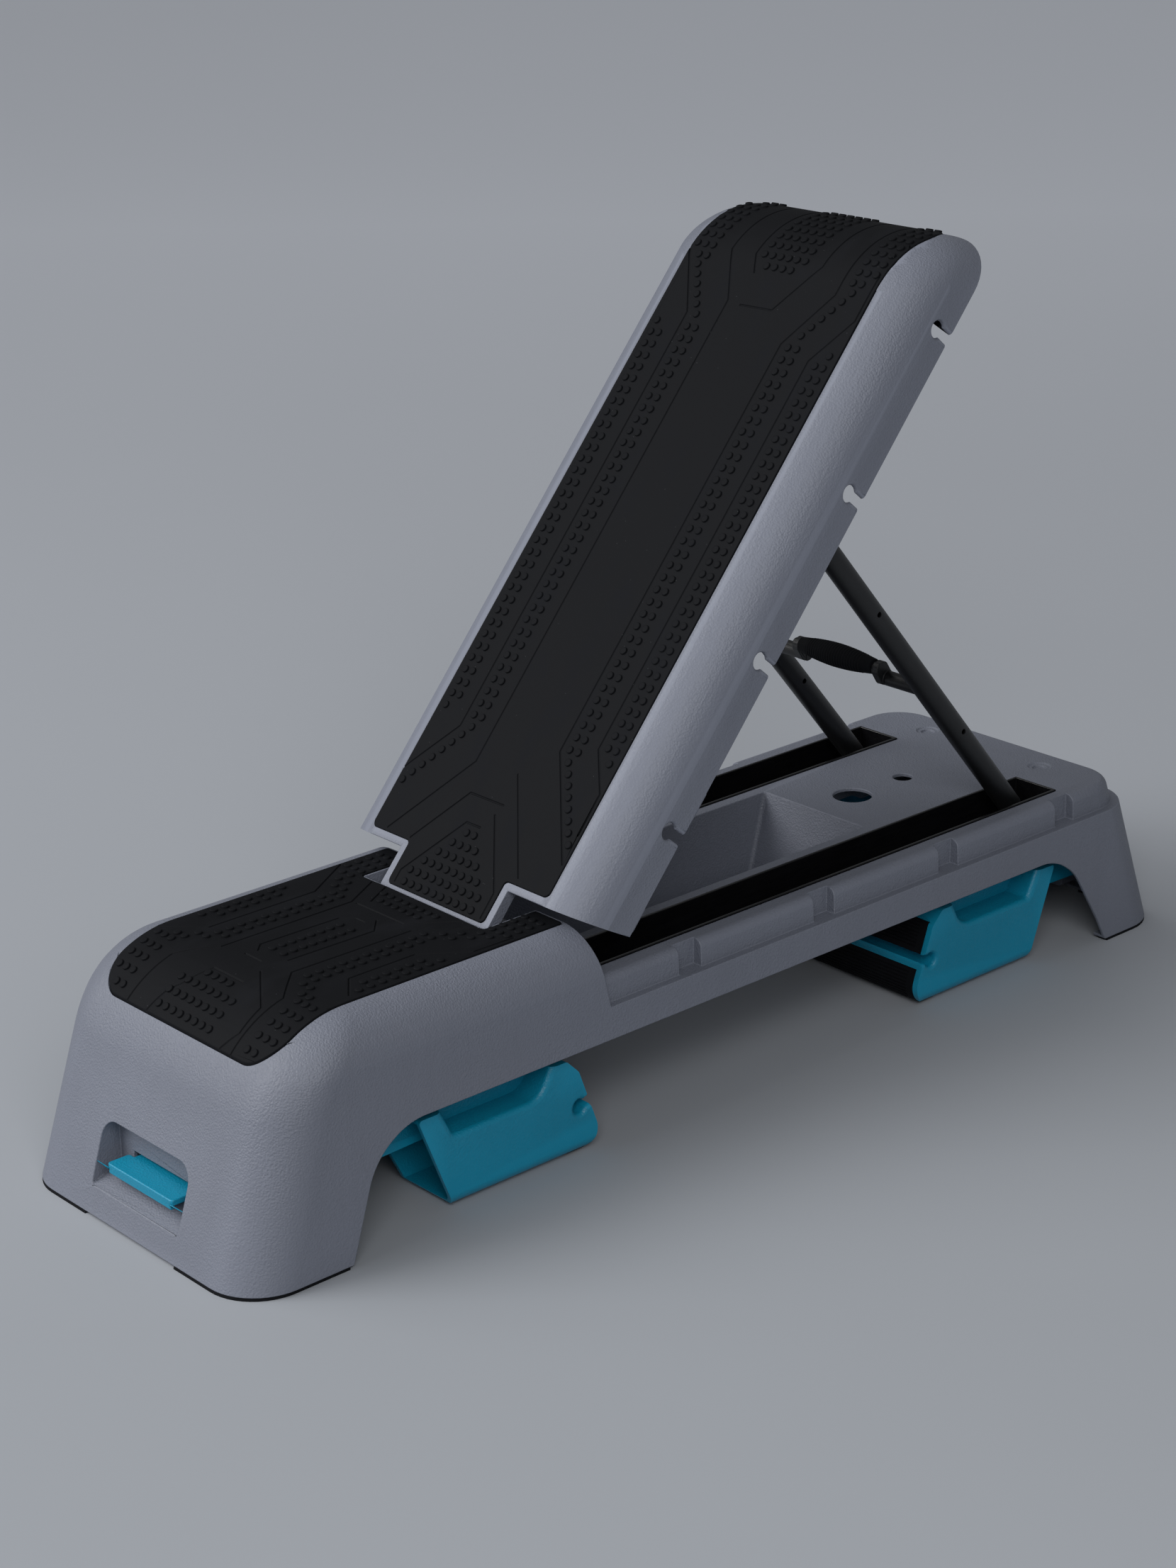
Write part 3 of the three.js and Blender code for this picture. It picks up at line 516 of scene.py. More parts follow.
def piece(name, solid, body, slot, replaces, bevel=0, shortest=0):
    """Adds a solid to the scene; edges shorter than the shortest (mm) keep their corner."""
    mesh = solid.mesh.copy()
    mesh.transform(TO_METRES)
    working = bmesh.new()
    working.from_mesh(mesh)
    bmesh.ops.remove_doubles(working, verts=working.verts, dist=2e-6)
    bmesh.ops.dissolve_limit(working, angle_limit=rad(0.4), verts=working.verts, edges=working.edges)
    working.to_mesh(mesh)
    working.free()
    mesh.materials.clear()
    mesh.materials.append(FINISH[slot])
    mesh.shade_smooth()
    mesh.set_sharp_from_angle(angle=SHARP_ANGLE)
    made = placed(name, mesh)
    if bevel:
        weights = mesh.attributes.new("bevel_weight_edge", "FLOAT", "EDGE")
        for edge in mesh.edges:
            a, b = (mesh.vertices[k].co for k in edge.vertices)
            weights.data[edge.index].value = float(edge.use_edge_sharp and (a - b).length > shortest * MM)
        modifier = made.modifiers.new("edges", "BEVEL")
        modifier.width = bevel * MM
        modifier.segments = 2
        modifier.limit_method = "WEIGHT"
        modifier.use_clamp_overlap = False
        modifier.miter_outer = "MITER_ARC"
    made.modifiers.new("even", "WEIGHTED_NORMAL").keep_sharp = True
    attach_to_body(made, body)
    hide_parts(replaces)
    return made


def node_box(name):
    low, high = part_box(name)
    return low / MM, high / MM


def turned(solid, sign):
    return solid if sign > 0 else solid.moved(Matrix.Rotation(math.pi, 4, "Z"))


# ---- base
def seat_rear_at(z):
    return SEAT_REAR_X + (SHELL_TOP - z) * SEAT_SWEEP


def seat_zone(shrink):
    return prism("Y", [(-700, -10), (seat_rear_at(-10) - shrink, -10), (seat_rear_at(260) - shrink, 260),
                       (-700, 260)], -250, 250)


DECK_FORM = {"top": DECK_Z + LEDGE_WIDTH, "edge": 8 + LEDGE_WIDTH, "end_edge": 8 + LEDGE_WIDTH}
ARCH = [
    (-447.4, -20), (-447.4, 0), (-438, 27, 60), (-419, 82, 60), (-385, 103.5, 60), (385, 103.5, 60),
    (414, 83, 60), (447, 27, 60), (460.5, 0), (460.5, -20),
]


def outer_skin():
    deck = form(**DECK_FORM, grow=-LEDGE_WIDTH, z0=120) & slab(-230, 600, 0, 300)
    return join(form(z0=120) & seat_zone(0), form(z0=FOOT_Z) & slab(-600, 600, 0, LEDGE_Z), deck)


def inner_hollow():
    below = form(grow=-WALL, z0=-5)
    deck = form(**DECK_FORM, grow=-LEDGE_WIDTH - WALL, z0=-5)
    return join(below & seat_zone(WALL), below & slab(-600, 600, -5, LEDGE_Z - WALL),
                deck & slab(seat_rear_at(140) + 0.1, 600, -5, DECK_Z - WALL))


def well(grow, top_z):
    """The bin's inside, which narrows downwards; grown by a wall it is the bin's outside."""
    def rect(size, z):
        return ring(z, size[0] - grow, size[1] + grow, size[2] + grow, 4 + grow, 4 + grow)
    return loft([rect(BIN_BOTTOM, BIN_FLOOR - grow), rect(BIN_TOP, DECK_Z), rect(BIN_TOP, top_z)])


def end_pocket(wall=0):
    """Finger pocket in an end face, with a sloping floor; grown by a wall it is the pocket's casing."""
    half = 60 + wall
    pocket = prism("X", [(-half, 24 - wall * 3, 5), (half, 24 - wall * 3, 5), (half, 79 + wall, 16),
                         (-half, 79 + wall, 16)], -HALF_LENGTH - 10, -HALF_LENGTH + 38 + wall)
    if wall:
        return pocket
    floor = from_end([(-20, 10), (-20, 14), (14, 27, 30), (40, 38), (40, 10)])
    return pocket - prism("Y", floor, -100, 100)


def hangers(end):
    """Plates that carry a leg's pin, and the posts that its latch springs stand against."""
    top = (SHELL_TOP if end == "front" else DECK_Z) - WALL + 1
    x, z = -abs(JOINT_AT[f"{end}_leg_hinge"].x), LEG_PIVOT.z
    profile = [(x - 17, z - 16, 14), (x + 17, z - 16, 14), (x + 17, top), (x - 17, top)]
    posts = [box(x + 18, x + 22, side * 30 - 8, side * 30 + 8, 38, top) for side, _ in SIDES]
    return join(*plates(profile, 115, 120), *posts)


def seat_field(grow):
    """Plan of the seat mat: rounded at the front, notched at the rear for the backrest's tongue."""
    w, front, rear = MAT_HALF_WIDTH + grow, SEAT_MAT_FRONT_X - grow, SEAT_REAR_X - 3 + grow
    notch_y, notch_x = RECESS_HALF_WIDTH + NOTCH_BORDER - grow, RECESS_FRONT_X - NOTCH_BORDER + grow
    half = [(front, -w, 28), (rear, -w, 2), (rear, -notch_y, 2), (notch_x, -notch_y, 4)]
    return prism("Z", symmetric(half), 150, 260)


def mat_bed(form_at, field):
    """Room for a mat in a moulding; form_at(grow) gives the moulding's outer form."""
    return (form_at(8) - form_at(MAT_PROUD - MAT_THICK - FIT)) & field


RIB = 3
PLATFORM_HOLES = ((275, 18.5), (344, 9.5))  # (x, radius)
DIMPLE_AT = (458, 72)
DIMPLE = ((0, 6.5), (1.7, 6.5), (1.8, 10.2), (3, 11), (9, 11))  # (height, radius)


def base_shell():
    outer = outer_skin()
    rim = (form(z0=FOOT_Z) & slab(-600, 600, 0, FOOT_Z + 3)) - form(grow=-FLANGE, z0=-5)
    troughs = both(SLOT_X[0] - 3, SLOT_X[1] + 3, SLOT_Y[0] - 3, SLOT_Y[1] + 3, SLOT_FLOOR_Z - 3, DECK_Z - 1)
    bin_walls = well(3, DECK_Z - 0.5) & box(-300, 300, -100, 100, 0, DECK_Z - 0.5)
    recess_walls = prism("Y", [
        (RECESS_FRONT_X - WALL, DECK_Z - WALL), (-150, DECK_Z - WALL), (-150, DECK_Z - 0.5),
        (seat_rear_at(DECK_Z), DECK_Z - 0.5), (seat_rear_at(SHELL_TOP - 1), SHELL_TOP - 1),
        (RECESS_FRONT_X - WALL, SHELL_TOP - 1)], -RECESS_HALF_WIDTH - WALL, RECESS_HALF_WIDTH + WALL)
    rib_z = (SHELL_TOP - 18, SHELL_TOP - WALL)
    ribs = [both(-470, -245, 48, 48 + RIB, *rib_z)]
    ribs += [box(x, x + RIB, -128, 128, *rib_z) for x in (-395, -300)]
    backs = [both(x - POCKET_HALF - 4, x + POCKET_HALF + 4, 133.5, 150, LEDGE_Z - WALL, DECK_Z - 1)
             for x in POCKET_XS]
    casing = end_pocket(WALL) & form(z0=FOOT_Z)
    ends = [turned(part, sign) for sign, end in ENDS for part in (hangers(end), casing)]
    shell = join(outer - inner_hollow(), rim, troughs, bin_walls, recess_walls, *ribs, *backs, *ends)
    shell = shell & outer

    recess = box(RECESS_FRONT_X, -100, -RECESS_HALF_WIDTH, RECESS_HALF_WIDTH, DECK_Z, 250)
    slots = both(*SLOT_X, *SLOT_Y, SLOT_FLOOR_Z, DECK_Z + 20)
    rail_pockets = [both(x - POCKET_HALF, x + POCKET_HALF, 137, 170, LEDGE_Z, DECK_Z + 5)
                    for x in POCKET_XS]
    holes = [bar((x, 0, DECK_Z - 20), (x, 0, DECK_Z + 20), radius) for x, radius in PLATFORM_HOLES]
    dimples = [lathe((DIMPLE_AT[0], side * DIMPLE_AT[1], DECK_Z - 3), (0, 0, 1), DIMPLE)
               for side, _ in SIDES]
    pin_holes = [bar_y(JOINT_AT[f"{end}_leg_hinge"].x, LEG_PIVOT.z, -130, 130, PIN_R + FIT)
                 for _, end in ENDS]
    latch_slot = box(-HALF_LENGTH + 30, -HALF_LENGTH + 50, -41, 41, 40, 51)
    mouths = [turned(part, sign) for sign, _ in ENDS for part in (end_pocket(), latch_slot)]
    return cut(shell, *plates(ARCH, 130, 200, 4), mat_bed(form, seat_field(0.5)),
               well(0, DECK_Z + 20), slots, recess,
               bar_y(PIVOT.x, PIVOT.z, -90, 90, BUSH_R + FIT), *rail_pockets, *holes, *dimples,
               *pin_holes, *mouths)


piece("deck_shell", base_shell(), "base", "grey_plastic", "base_shell", bevel=0.7)


def liner(side):
    """Slot liner: a channel with low ridges that stop the prop's foot."""
    x0, x1 = SLOT_X
    floor = SLOT_FLOOR_Z + 3
    y0, y1 = span_y(side, *SLOT_Y)
    channel = box(x0 + 0.3, x1 - 0.3, y0 + 0.3, y1 - 0.3, SLOT_FLOOR_Z + 0.3, DECK_Z + 1.2)
    channel = channel - box(x0 + 3, x1 - 3, y0 + 3, y1 - 3, floor, 300)
    ridges = [prism("Y", [(x - 3, floor - 1), (x - 1.2, floor + 2.8, 1), (x + 1.2, floor + 2.8, 1),
                          (x + 3, floor - 1)], y0 + 2, y1 - 2) for x in RIDGES]
    return join(channel, *ridges)


# Where the prop's feet stop: the axle turns about the hinge and the prop keeps its length.
FOOT_LOW, FOOT_HIGH = node_box("prop_foot_left")
FOOT = Vector((FOOT_HIGH.x - 10, 0, FOOT_LOW.z + 10))
AXLE_AT = JOINT_AT["prop_pivot"]
PROP_LENGTH = (FOOT - AXLE_AT).length


def ridge_x(lift):
    axle = PIVOT + Matrix.Rotation(-rad(lift), 3, "Y") @ (AXLE_AT - PIVOT)
    return axle.x + math.sqrt(PROP_LENGTH ** 2 - (axle.z - FOOT.z) ** 2) + 13


RIDGES = [ridge_x(lift) for lift in range(0, 31, 5)]


def foot_strip(sign, side):
    strip = form(grow=-0.6, z0=0) - form(grow=0.4 - FLANGE, z0=-5)
    x0, x1 = (-560, -450) if sign > 0 else (462, 560)
    return strip & box(x0, x1, *span_y(side, 62, 200), -1, FOOT_Z - 0.3)


for side, name in SIDES:
    piece(f"slot_liner_{name}", liner(side), "base", "black_plastic", f"track_{name}", bevel=0.5)
    bush = sleeve(PIVOT.x, PIVOT.z, *span_y(side, 77.3, 83), BUSH_R, PIN_R + FIT)
    piece(f"board_bush_{name}", bush, "base", "black_plastic", f"hinge_bush_{name}")
    for sign, end in ENDS:
        piece(f"floor_strip_{end}_{name}", foot_strip(sign, side), "base", "rubber",
              f"foot_strip_{end}_{name}", bevel=0.3)
piece("board_pin", rod((PIVOT.x, -84, PIVOT.z), (PIVOT.x, 84, PIVOT.z), PIN_R), "base", "zinc_steel",
      "hinge_pin")


# ---- mats
STUD_PITCH = 11.79
GROOVE_WIDTH = 1.4
GROOVE_DEPTH = 0.9
STUD_PROFILE = ((3.5, -0.6), (3.45, 0.9), (3.2, 1.35), (2.7, 1.55), (1.3, 1.6))
STUD_SIDES = 18


class MatSurface:
    """Top of a mat: flat, then rolled over one end. Points are (distance along it, y)."""

    def __init__(self, sign, ground, radius, inset=0):
        self.sign = sign
        self.radius = radius
        self.centre_x = roll_centre(ground, END_LEAN, MAT_TOP, radius) - inset

    def at(self, u, v):
        """The point at (u, v) and the surface's normal there."""
        angle = max(0, self.sign * u - self.centre_x) / self.radius
        x = min(self.sign * u, self.centre_x) + self.radius * math.sin(angle)
        z = MAT_TOP - self.radius * (1 - math.cos(angle))
        return Vector((self.sign * x, v, z)), Vector((self.sign * math.sin(angle), 0, math.cos(angle)))


def studs(surface, places):
    """Short round studs as one mesh of separate closed buttons."""
    points, faces = [], []
    for u, v in places:
        centre, normal = surface.at(u, v)
        turn = Vector((0, 0, 1)).rotation_difference(normal)
        faces += stack_faces(STUD_SIDES, len(STUD_PROFILE), len(points))
        points += [centre + turn @ around(radius, math.tau * k / STUD_SIDES, height)
                   for radius, height in STUD_PROFILE for k in range(STUD_SIDES)]
    mesh = bpy.data.meshes.new("studs")
    mesh.from_pydata(points, [], faces)
    return mesh


def band(line, half_width):
    """Outline of a bent line drawn with a square pen."""
    points = [Vector(point) for point in line]
    left, right = [], []
    for i, point in enumerate(points):
        before = (point - points[i - 1]).normalized() if i else None
        after = (points[i + 1] - point).normalized() if i + 1 < len(points) else None
        along = ((before or after) + (after or before)).normalized()
        across = Vector((-along.y, along.x))
        reach = half_width / across.dot(Vector((-(after or before).y, (after or before).x)))
        shift = Vector((0, 0)) if before and after else along * half_width * (1 if before else -1)
        left.append(point + across * reach + shift)
        right.append(point - across * reach + shift)
    return [tuple(point) for point in left + right[::-1]]


def grooved_mat(form_at, field, lines):
    """Mat that lies on a form, with each line cut into it."""
    mat = (form_at(MAT_PROUD) - form_at(MAT_PROUD - MAT_THICK)) & field
    skin = form_at(MAT_PROUD + 4) - form_at(MAT_PROUD - GROOVE_DEPTH)
    for line in lines:
        mat = mat - (prism("Z", band(line, GROOVE_WIDTH / 2), 120, 260) & skin)
    return mat


def spaced(u0, u1, pitch=STUD_PITCH):
    count = round(abs(u1 - u0) / pitch)
    return [u0 + (u1 - u0) * k / count for k in range(count + 1)]


def diagonal(start, step, count):
    """Groups of one place each, along a slanting line."""
    return [([start[0] + step[0] * k], [start[1] + step[1] * k]) for k in range(count)]


def stud_places(groups):
    """Places of studs on both sides of the middle; each group gives distances along and across."""
    return [(u, side * v) for along, across in groups for u in along for v in across for side, _ in SIDES]


CENTRED = [4.9 + 9.8 * k for k in range(5)]


def attach(made, mesh):
    """Adds a mesh of small parts to a piece, so that both are one object."""
    mesh.transform(TO_METRES)
    mesh.shade_smooth()
    mesh.set_sharp_from_angle(angle=rad(50))
    working = bmesh.new()
    working.from_mesh(made.data)
    working.from_mesh(mesh)
    working.to_mesh(made.data)
    working.free()


def seat_mat():
    surface = MatSurface(-1, HALF_LENGTH + MAT_PROUD / math.cos(END_LEAN), END_R + MAT_PROUD)
    lines = [
        [(-432, 113), (-400, 79.7), (-291.5, 79.7), (-239, 112.7)],
        [(-400, -107), (-380, -81.3), (-314, -81.3), (-276.5, -109.7), (-235.5, -110.7)],
        [(-500, 71), (-446, 66), (-415, 40.5), (-283, 40.5), (-244, 63)],
        [(-500, -71), (-436, -71), (-405, -40.3), (-286, -42), (-243, -74.7)],
        [(-500, 48), (-473, 36), (-464, 27.7), (-440, 16.5), (-440, -22)],
        [(-500, -48), (-476, -66), (-452.5, -63.7), (-421.5, -21.3)],
        [(-399, 13), (-390, 22), (-312, 20.3), (-302.5, 10.3), (-302.5, -1.3)],
        [(-293, -5.3), (-307.5, -21.3), (-394, -19.7), (-410, -5.7), (-410, 15.3)],
        [(-271, 29.7), (-243.5, 45.3)],
        [(-282.5, 34.7), (-281.8, -26.3), (-244, -56.3)],
    ]
    places = stud_places([
        (spaced(-413, -284), [65.2]), (spaced(-401, -284), [55.2]), (spaced(-389, -307), [105.2]),
        (spaced(-377, -319), [95.2]), (spaced(-389, -321, 9.8), [7.5]),
        ([-266], CENTRED[:3]), ([-254.5], CENTRED[:4]),
        ([-447.6], CENTRED[:2]), ([-461, -475, -489], CENTRED[:4]),
        ([-433.3, -447.6, -461, -475], [104.5, 95, 85.4]), ([-489], [94, 84.5]),
        ([-413.5], [75.5]), ([-424.5], [89, 79]), ([-272.7], [77.6, 66]),
        ([-261.1], [87.5, 75.3]), ([-249.4], [97.2, 85.8]),
        ([-237.7, -226, -214.4, -202.7], [105.3, 95.7, 86.1]),
    ])
    mat = grooved_mat(form, seat_field(0), lines)
    made = piece("seat_mat_studded", mat, "base", "rubber", "seat_mat", bevel=0.5)
    attach(made, studs(surface, places))


seat_mat()

# ---- backrest
SKIRT_Z = LEDGE_Z + 1
SKIRT_INSET = 1.2
HEAD_INSET = 6 - SKIRT_INSET
RAISE = Matrix.Translation(PIVOT) @ Matrix.Rotation(-TILT, 4, "Y") @ Matrix.Translation(-PIVOT)


def board_form(grow, z0=100):
    return form(grow=grow - SKIRT_INSET, z0=z0, top=SHELL_TOP + SKIRT_INSET, edge=TOP_R + SKIRT_INSET,
                front_x=-260, head_inset=HEAD_INSET)


def shoulder_zone(shrink):
    return prism("Y", [
        (BACK_FRONT_X + (SHELL_TOP - 100) * SEAT_SWEEP + shrink, 100), (700, 100), (700, 260),
        (BACK_FRONT_X + (SHELL_TOP - 260) * SEAT_SWEEP + shrink, 260)], -250, 250)


def tongue(grow, z0):
    half = TONGUE_HALF_WIDTH + grow
    return prism("Z", symmetric([(TONGUE_X - grow, -half, 6), (-130, -half)]), z0, 230)


def board_field(grow):
    shoulder, tip = BACK_FRONT_X + BORDER - grow, TONGUE_X + BORDER - grow
    w, tongue_w, head = MAT_HALF_WIDTH + grow, TONGUE_HALF_WIDTH - BORDER + grow, BACK_MAT_HEAD_X + grow
    half = [(tip, -tongue_w, 5), (shoulder, -tongue_w, 4), (shoulder, -w, 6), (head, -w, 28)]
    return prism("Z", symmetric(half), 120, 260)


KEYHOLE_Z = SKIRT_Z + 16.5
KEYHOLE_R = 7.5
KEYHOLE_INNER_Y = 138
KEYHOLE_ROLL = 2.8
MOUTH = 4.5


def keyhole_outline(x, grow):
    """Round hole with a mouth that opens at the skirt's lower edge, in X and Z."""
    radius, mouth = KEYHOLE_R + grow, MOUTH + grow
    start = math.asin(mouth / radius)
    points = [(x - mouth, 100), (x + mouth, 100)]
    for k in range(25):
        angle = -math.pi / 2 + start + (math.tau - 2 * start) * k / 24
        points.append((x + radius * math.cos(angle), KEYHOLE_Z + radius * math.sin(angle)))
    return points


def keyhole(x, side):
    skin = HALF_WIDTH - SKIRT_INSET - KEYHOLE_Z * math.tan(SIDE_LEAN)
    return flared(lambda grow: keyhole_outline(x, grow), side, KEYHOLE_INNER_Y, skin, KEYHOLE_ROLL)


def board_shell():
    tongue_part = board_form(0) & tongue(0, TONGUE_UNDER_Z)
    outer = (board_form(0, SKIRT_Z) & shoulder_zone(0)) + tongue_part
    hollow = board_form(-WALL) & (shoulder_zone(WALL) + box(-300, 0, -160, 160, 0, DECK_Z + 2.5))
    rib_z = (SHELL_TOP - 15, SHELL_TOP - WALL)
    ribs = join(both(-140, 470, 48, 48 + RIB, *rib_z),
                *(box(x, x + RIB, -135, 135, *rib_z) for x in (-60, 60, 340, 430)))
    front = tongue_part & slab(-300, -140, 0, 300)
    tabs = [both(x0, x1, 149.4, 151.2, SKIRT_Z - 3, SKIRT_Z + 8) for x0, x1 in ((-159, -138), (-54, -30))]
    body = join(outer - hollow, ribs & board_form(-1), front)
    keyholes = [keyhole(x, side) for x in POCKET_XS for side, _ in SIDES]
    body = cut(body, mat_bed(board_form, board_field(0.5)), *keyholes,
               box(-260, -120, -63, 63, 100, TONGUE_UNDER_Z))
    return join(body, *tabs)


def board_piece(name, solid, slot, replaces, **options):
    return piece(name, solid.moved(RAISE), "backrest", slot, replaces, **options)


def board_mat():
    grow = MAT_PROUD - SKIRT_INSET
    surface = MatSurface(1, HALF_LENGTH + grow / math.cos(END_LEAN), END_R + grow, HEAD_INSET)
    lines = [
        [(-166.7, 95), (-86, 37.3), (373.5, 37.3), (422, 65), (520, 65)],
        [(-140, -111.7), (-52.7, -46.8), (343.3, -46.8), (396.7, -76.5), (520, -76.5)],
        [(-113.3, 114.3), (-61.7, 76.2), (355, 76.2), (416.7, 115)],
        [(-113, -111.7), (-75, -111.7), (-40, -85.5), (333.3, -85.5), (376.7, -111.7), (420, -111.7)],
        [(-167.3, 63.8), (-112.7, 24.5), (-112.7, -18)],
        [(-206.7, 54.8), (-196, 54.8), (-137.3, 11.5), (-137.3, -6)],
        [(-123, -14.5), (-183.3, -57.8), (-206.7, -57.8)],
        [(-83.7, -15.5), (-164, -74.5)],
        [(371, 21), (371.7, -17), (420, -46.2), (520, -46.5)],
        [(403.3, 24.8), (421.7, 34.8), (520, 34.8)],
    ]
    places = stud_places([
        (spaced(-48.8, 341), [105.2, 66.9, 56.6]), (spaced(-36.8, 329.7), [95.5]),
        *diagonal((-59.5, 62.3), (-9.15, 6.5), 8), *diagonal((354, 64), (9.4, 5.9), 6),
        ([410.5], [98.5, 88.5]), ([421.5 + 11.6 * k for k in range(7)], [107.9, 98, 88.2]),
        ([502.7, 514.3], [98, 88.2]),
        ([411], CENTRED[:2]), ([422 + 11.6 * k for k in range(9)], CENTRED[:3]),
        ([-204, -192.6], CENTRED), ([-181], CENTRED[:4]), ([-169.3], CENTRED[:3]),
        ([-157.5], CENTRED[:2]), ([-145.7], CENTRED[:1]),
    ])
    mat = grooved_mat(board_form, board_field(0), lines)
    made = board_piece("board_mat_studded", mat, "rubber", "backrest_mat", bevel=0.5)
    buttons = studs(surface, places)
    buttons.transform(RAISE)
    attach(made, buttons)


board_piece("board_shell", board_shell(), "grey_plastic", "backrest_shell", bevel=0.7, shortest=5)
board_mat()

knuckle = bar_y(PIVOT.x, PIVOT.z, -60, 60, 9.5)
leaf = box(PIVOT.x, -146, -60, 60, TONGUE_UNDER_Z - 4, TONGUE_UNDER_Z - 0.3)
board_piece("board_hinge_leaf", (knuckle + leaf) - bar_y(PIVOT.x, PIVOT.z, -70, 70, PIN_R + FIT),
            "black_steel", "hinge_leaf", bevel=0.6)
axle_rod = rod((AXLE[0], -124, AXLE[1]), (AXLE[0], 124, AXLE[1]), AXLE_R, 0.8)
for side, _ in SIDES:  # grooves for the rings that keep it in place
    axle_rod = axle_rod - (bar_y(*AXLE, *span_y(side, 120.6, 121.8), 8) - bar_y(*AXLE, -130, 130, 4.2))
board_piece("prop_axle_rod", axle_rod, "zinc_steel", "prop_axle")

BRACKET_TOP = SHELL_TOP - WALL - 1


def bracket(side):
    """Upright plate that carries the axle, with a flange that is screwed to the board."""
    x, z = AXLE
    plate = prism("Y", [(x - 14, z - 14, 13), (x + 14, z - 14, 13), (x + 30, BRACKET_TOP),
                        (x - 30, BRACKET_TOP)], *span_y(side, 115, 118))
    flange = box(x - 30, x + 30, *span_y(side, 94, 118), BRACKET_TOP - 3, BRACKET_TOP)
    return (plate + flange) - bar_y(x, z, -130, 130, AXLE_R + FIT)


def pan_screw(x, y, seat):
    """Pan-head screw seen from below, with a cross recess."""
    head = lathe((x, y, seat), (0, 0, -1), [(0, 4.5), (0.9, 4.5), (1.7, 3.9), (2.2, 2.8), (2.4, 1.4)])
    return cut(head, *(box(x - a, x + a, y - b, y + b, seat - 4, seat - 1.2)
                       for a, b in ((2.6, 0.5), (0.5, 2.6))))


for side, name in SIDES:
    board_piece(f"axle_plate_{name}", bracket(side), "black_steel", f"axle_bracket_{name}", bevel=0.5)
    for where, shift in (("front", -22), ("rear", 22)):
        screw = pan_screw(AXLE[0] + shift, side * 104, BRACKET_TOP - 3.3)
        board_piece(f"plate_screw_{where}_{name}", screw, "zinc_steel", f"bracket_screw_{where}_{name}")

# ---- prop
PROP_Y = 101
TUBE_R = 11
SPACER_END = PROP_Y - TUBE_R - FIT
ALONG = (FOOT - AXLE_AT).normalized()


def on_prop(distance, y=0):
    return AXLE_AT + ALONG * distance + Vector((0, y, 0))


def prop_tube(side):
    y = side * PROP_Y
    skin = rod(on_prop(-13, y), on_prop(PROP_LENGTH - 12, y), TUBE_R, 0.8)
    bore = bar(on_prop(-20, y), on_prop(PROP_LENGTH, y), TUBE_R - 1.7)
    small_holes = [bar(on_prop(d, side * 85), on_prop(d, side * 120), 2.6) for d in (158, 336)]
    return cut(skin, bore, bar_y(AXLE_AT.x, AXLE_AT.z, -130, 130, AXLE_R + FIT), *small_holes)


def prop_foot(side):
    y = side * PROP_Y
    plug = bar(on_prop(PROP_LENGTH - 36, y), on_prop(PROP_LENGTH, y), TUBE_R - 2)
    roller = lathe((FOOT.x, y - 17, FOOT.z), (0, 1, 0), [
        (0, 5.5), (0.8, 6.2), (2.5, 6.2), (2.6, 9), (3.4, 10), (14, 10), (14.8, 9.3), (19.2, 9.3),
        (20, 10), (30.6, 10), (31.4, 9), (31.5, 6.2), (33.2, 6.2), (34, 5.5)])
    return plug + roller


HANDLE_AT = 275
HANDLE_RISE = 15
HANDLE_R = 5
GRIP_HALF = 46


def handle_bar():
    low, high = on_prop(HANDLE_AT), on_prop(HANDLE_AT - HANDLE_RISE)
    y0, y1 = GRIP_HALF + 0.5, 54
    link = [(high.x - 8, high.z, 6), (high.x + 6, high.z + 7, 5), (low.x + 8, low.z, 6),
            (low.x - 6, low.z - 7, 5)]
    parts = [bar_y(high.x, high.z, -y1, y1, HANDLE_R)]
    for side, _ in SIDES:
        parts.append(rod((low.x, side * y0, low.z), (low.x, side * SPACER_END, low.z), 7))
        parts.append(prism("Y", link, *span_y(side, y0, y1)))
    return join(*parts)


def grip():
    """Soft barrel-shaped grip with shallow rings."""
    length = 2 * GRIP_HALF
    profile = [(0, 5.9), (0.6, 6.9)]
    steps = 150
    for k in range(1, steps):
        distance = length * k / steps
        rings = 0.28 * math.cos(math.tau * distance / 3.1) if 12 < distance < length - 12 else 0
        profile.append((distance, 7.1 + 3.9 * math.sin(math.pi * k / steps) + rings))
    profile += [(length - 0.6, 6.9), (length, 5.9)]
    place = on_prop(HANDLE_AT - HANDLE_RISE, -GRIP_HALF)
    return lathe(place, (0, 1, 0), profile) - bar_y(place.x, place.z, -60, 60, HANDLE_R + FIT)


for side, name in SIDES:
    piece(f"strut_tube_{name}", prop_tube(side), "prop", "black_steel", f"prop_tube_{name}")
    piece(f"strut_foot_{name}", prop_foot(side), "prop", "black_plastic", f"prop_foot_{name}")
spacer = sleeve(AXLE_AT.x, AXLE_AT.z, -SPACER_END, SPACER_END, 8.5, AXLE_R + FIT)
piece("strut_spacer", spacer, "prop", "black_steel", "prop_spacer")
piece("strut_handle", handle_bar(), "prop", "black_steel", "prop_handle_bar", bevel=0.5)
piece("strut_grip", grip(), "prop", "rubber", "prop_grip")

# ---- legs and latches
LEG_HALF_WIDTH = 140
SOLE_SLOPE = 0.362
GROOVE_Z = 44
GROOVE_R = 6.5
GROOVE_ROLL = 4.5
SCOOP_DEPTH = 27
SCOOP_ROLL = 5
PAD_INSET = 6
LEG_BOTTOM_Z = 2
LEG_WALL = 4
ARM_Y = (104, 112)
ARM = [(112, 87), (190, 87), (230, 88), (345, 88), (345, 60), (112, 53)]


def sole_at(z):
    return 355.3 + (77 - z) * SOLE_SLOPE


GROOVE_E = sole_at(GROOVE_Z) - 11


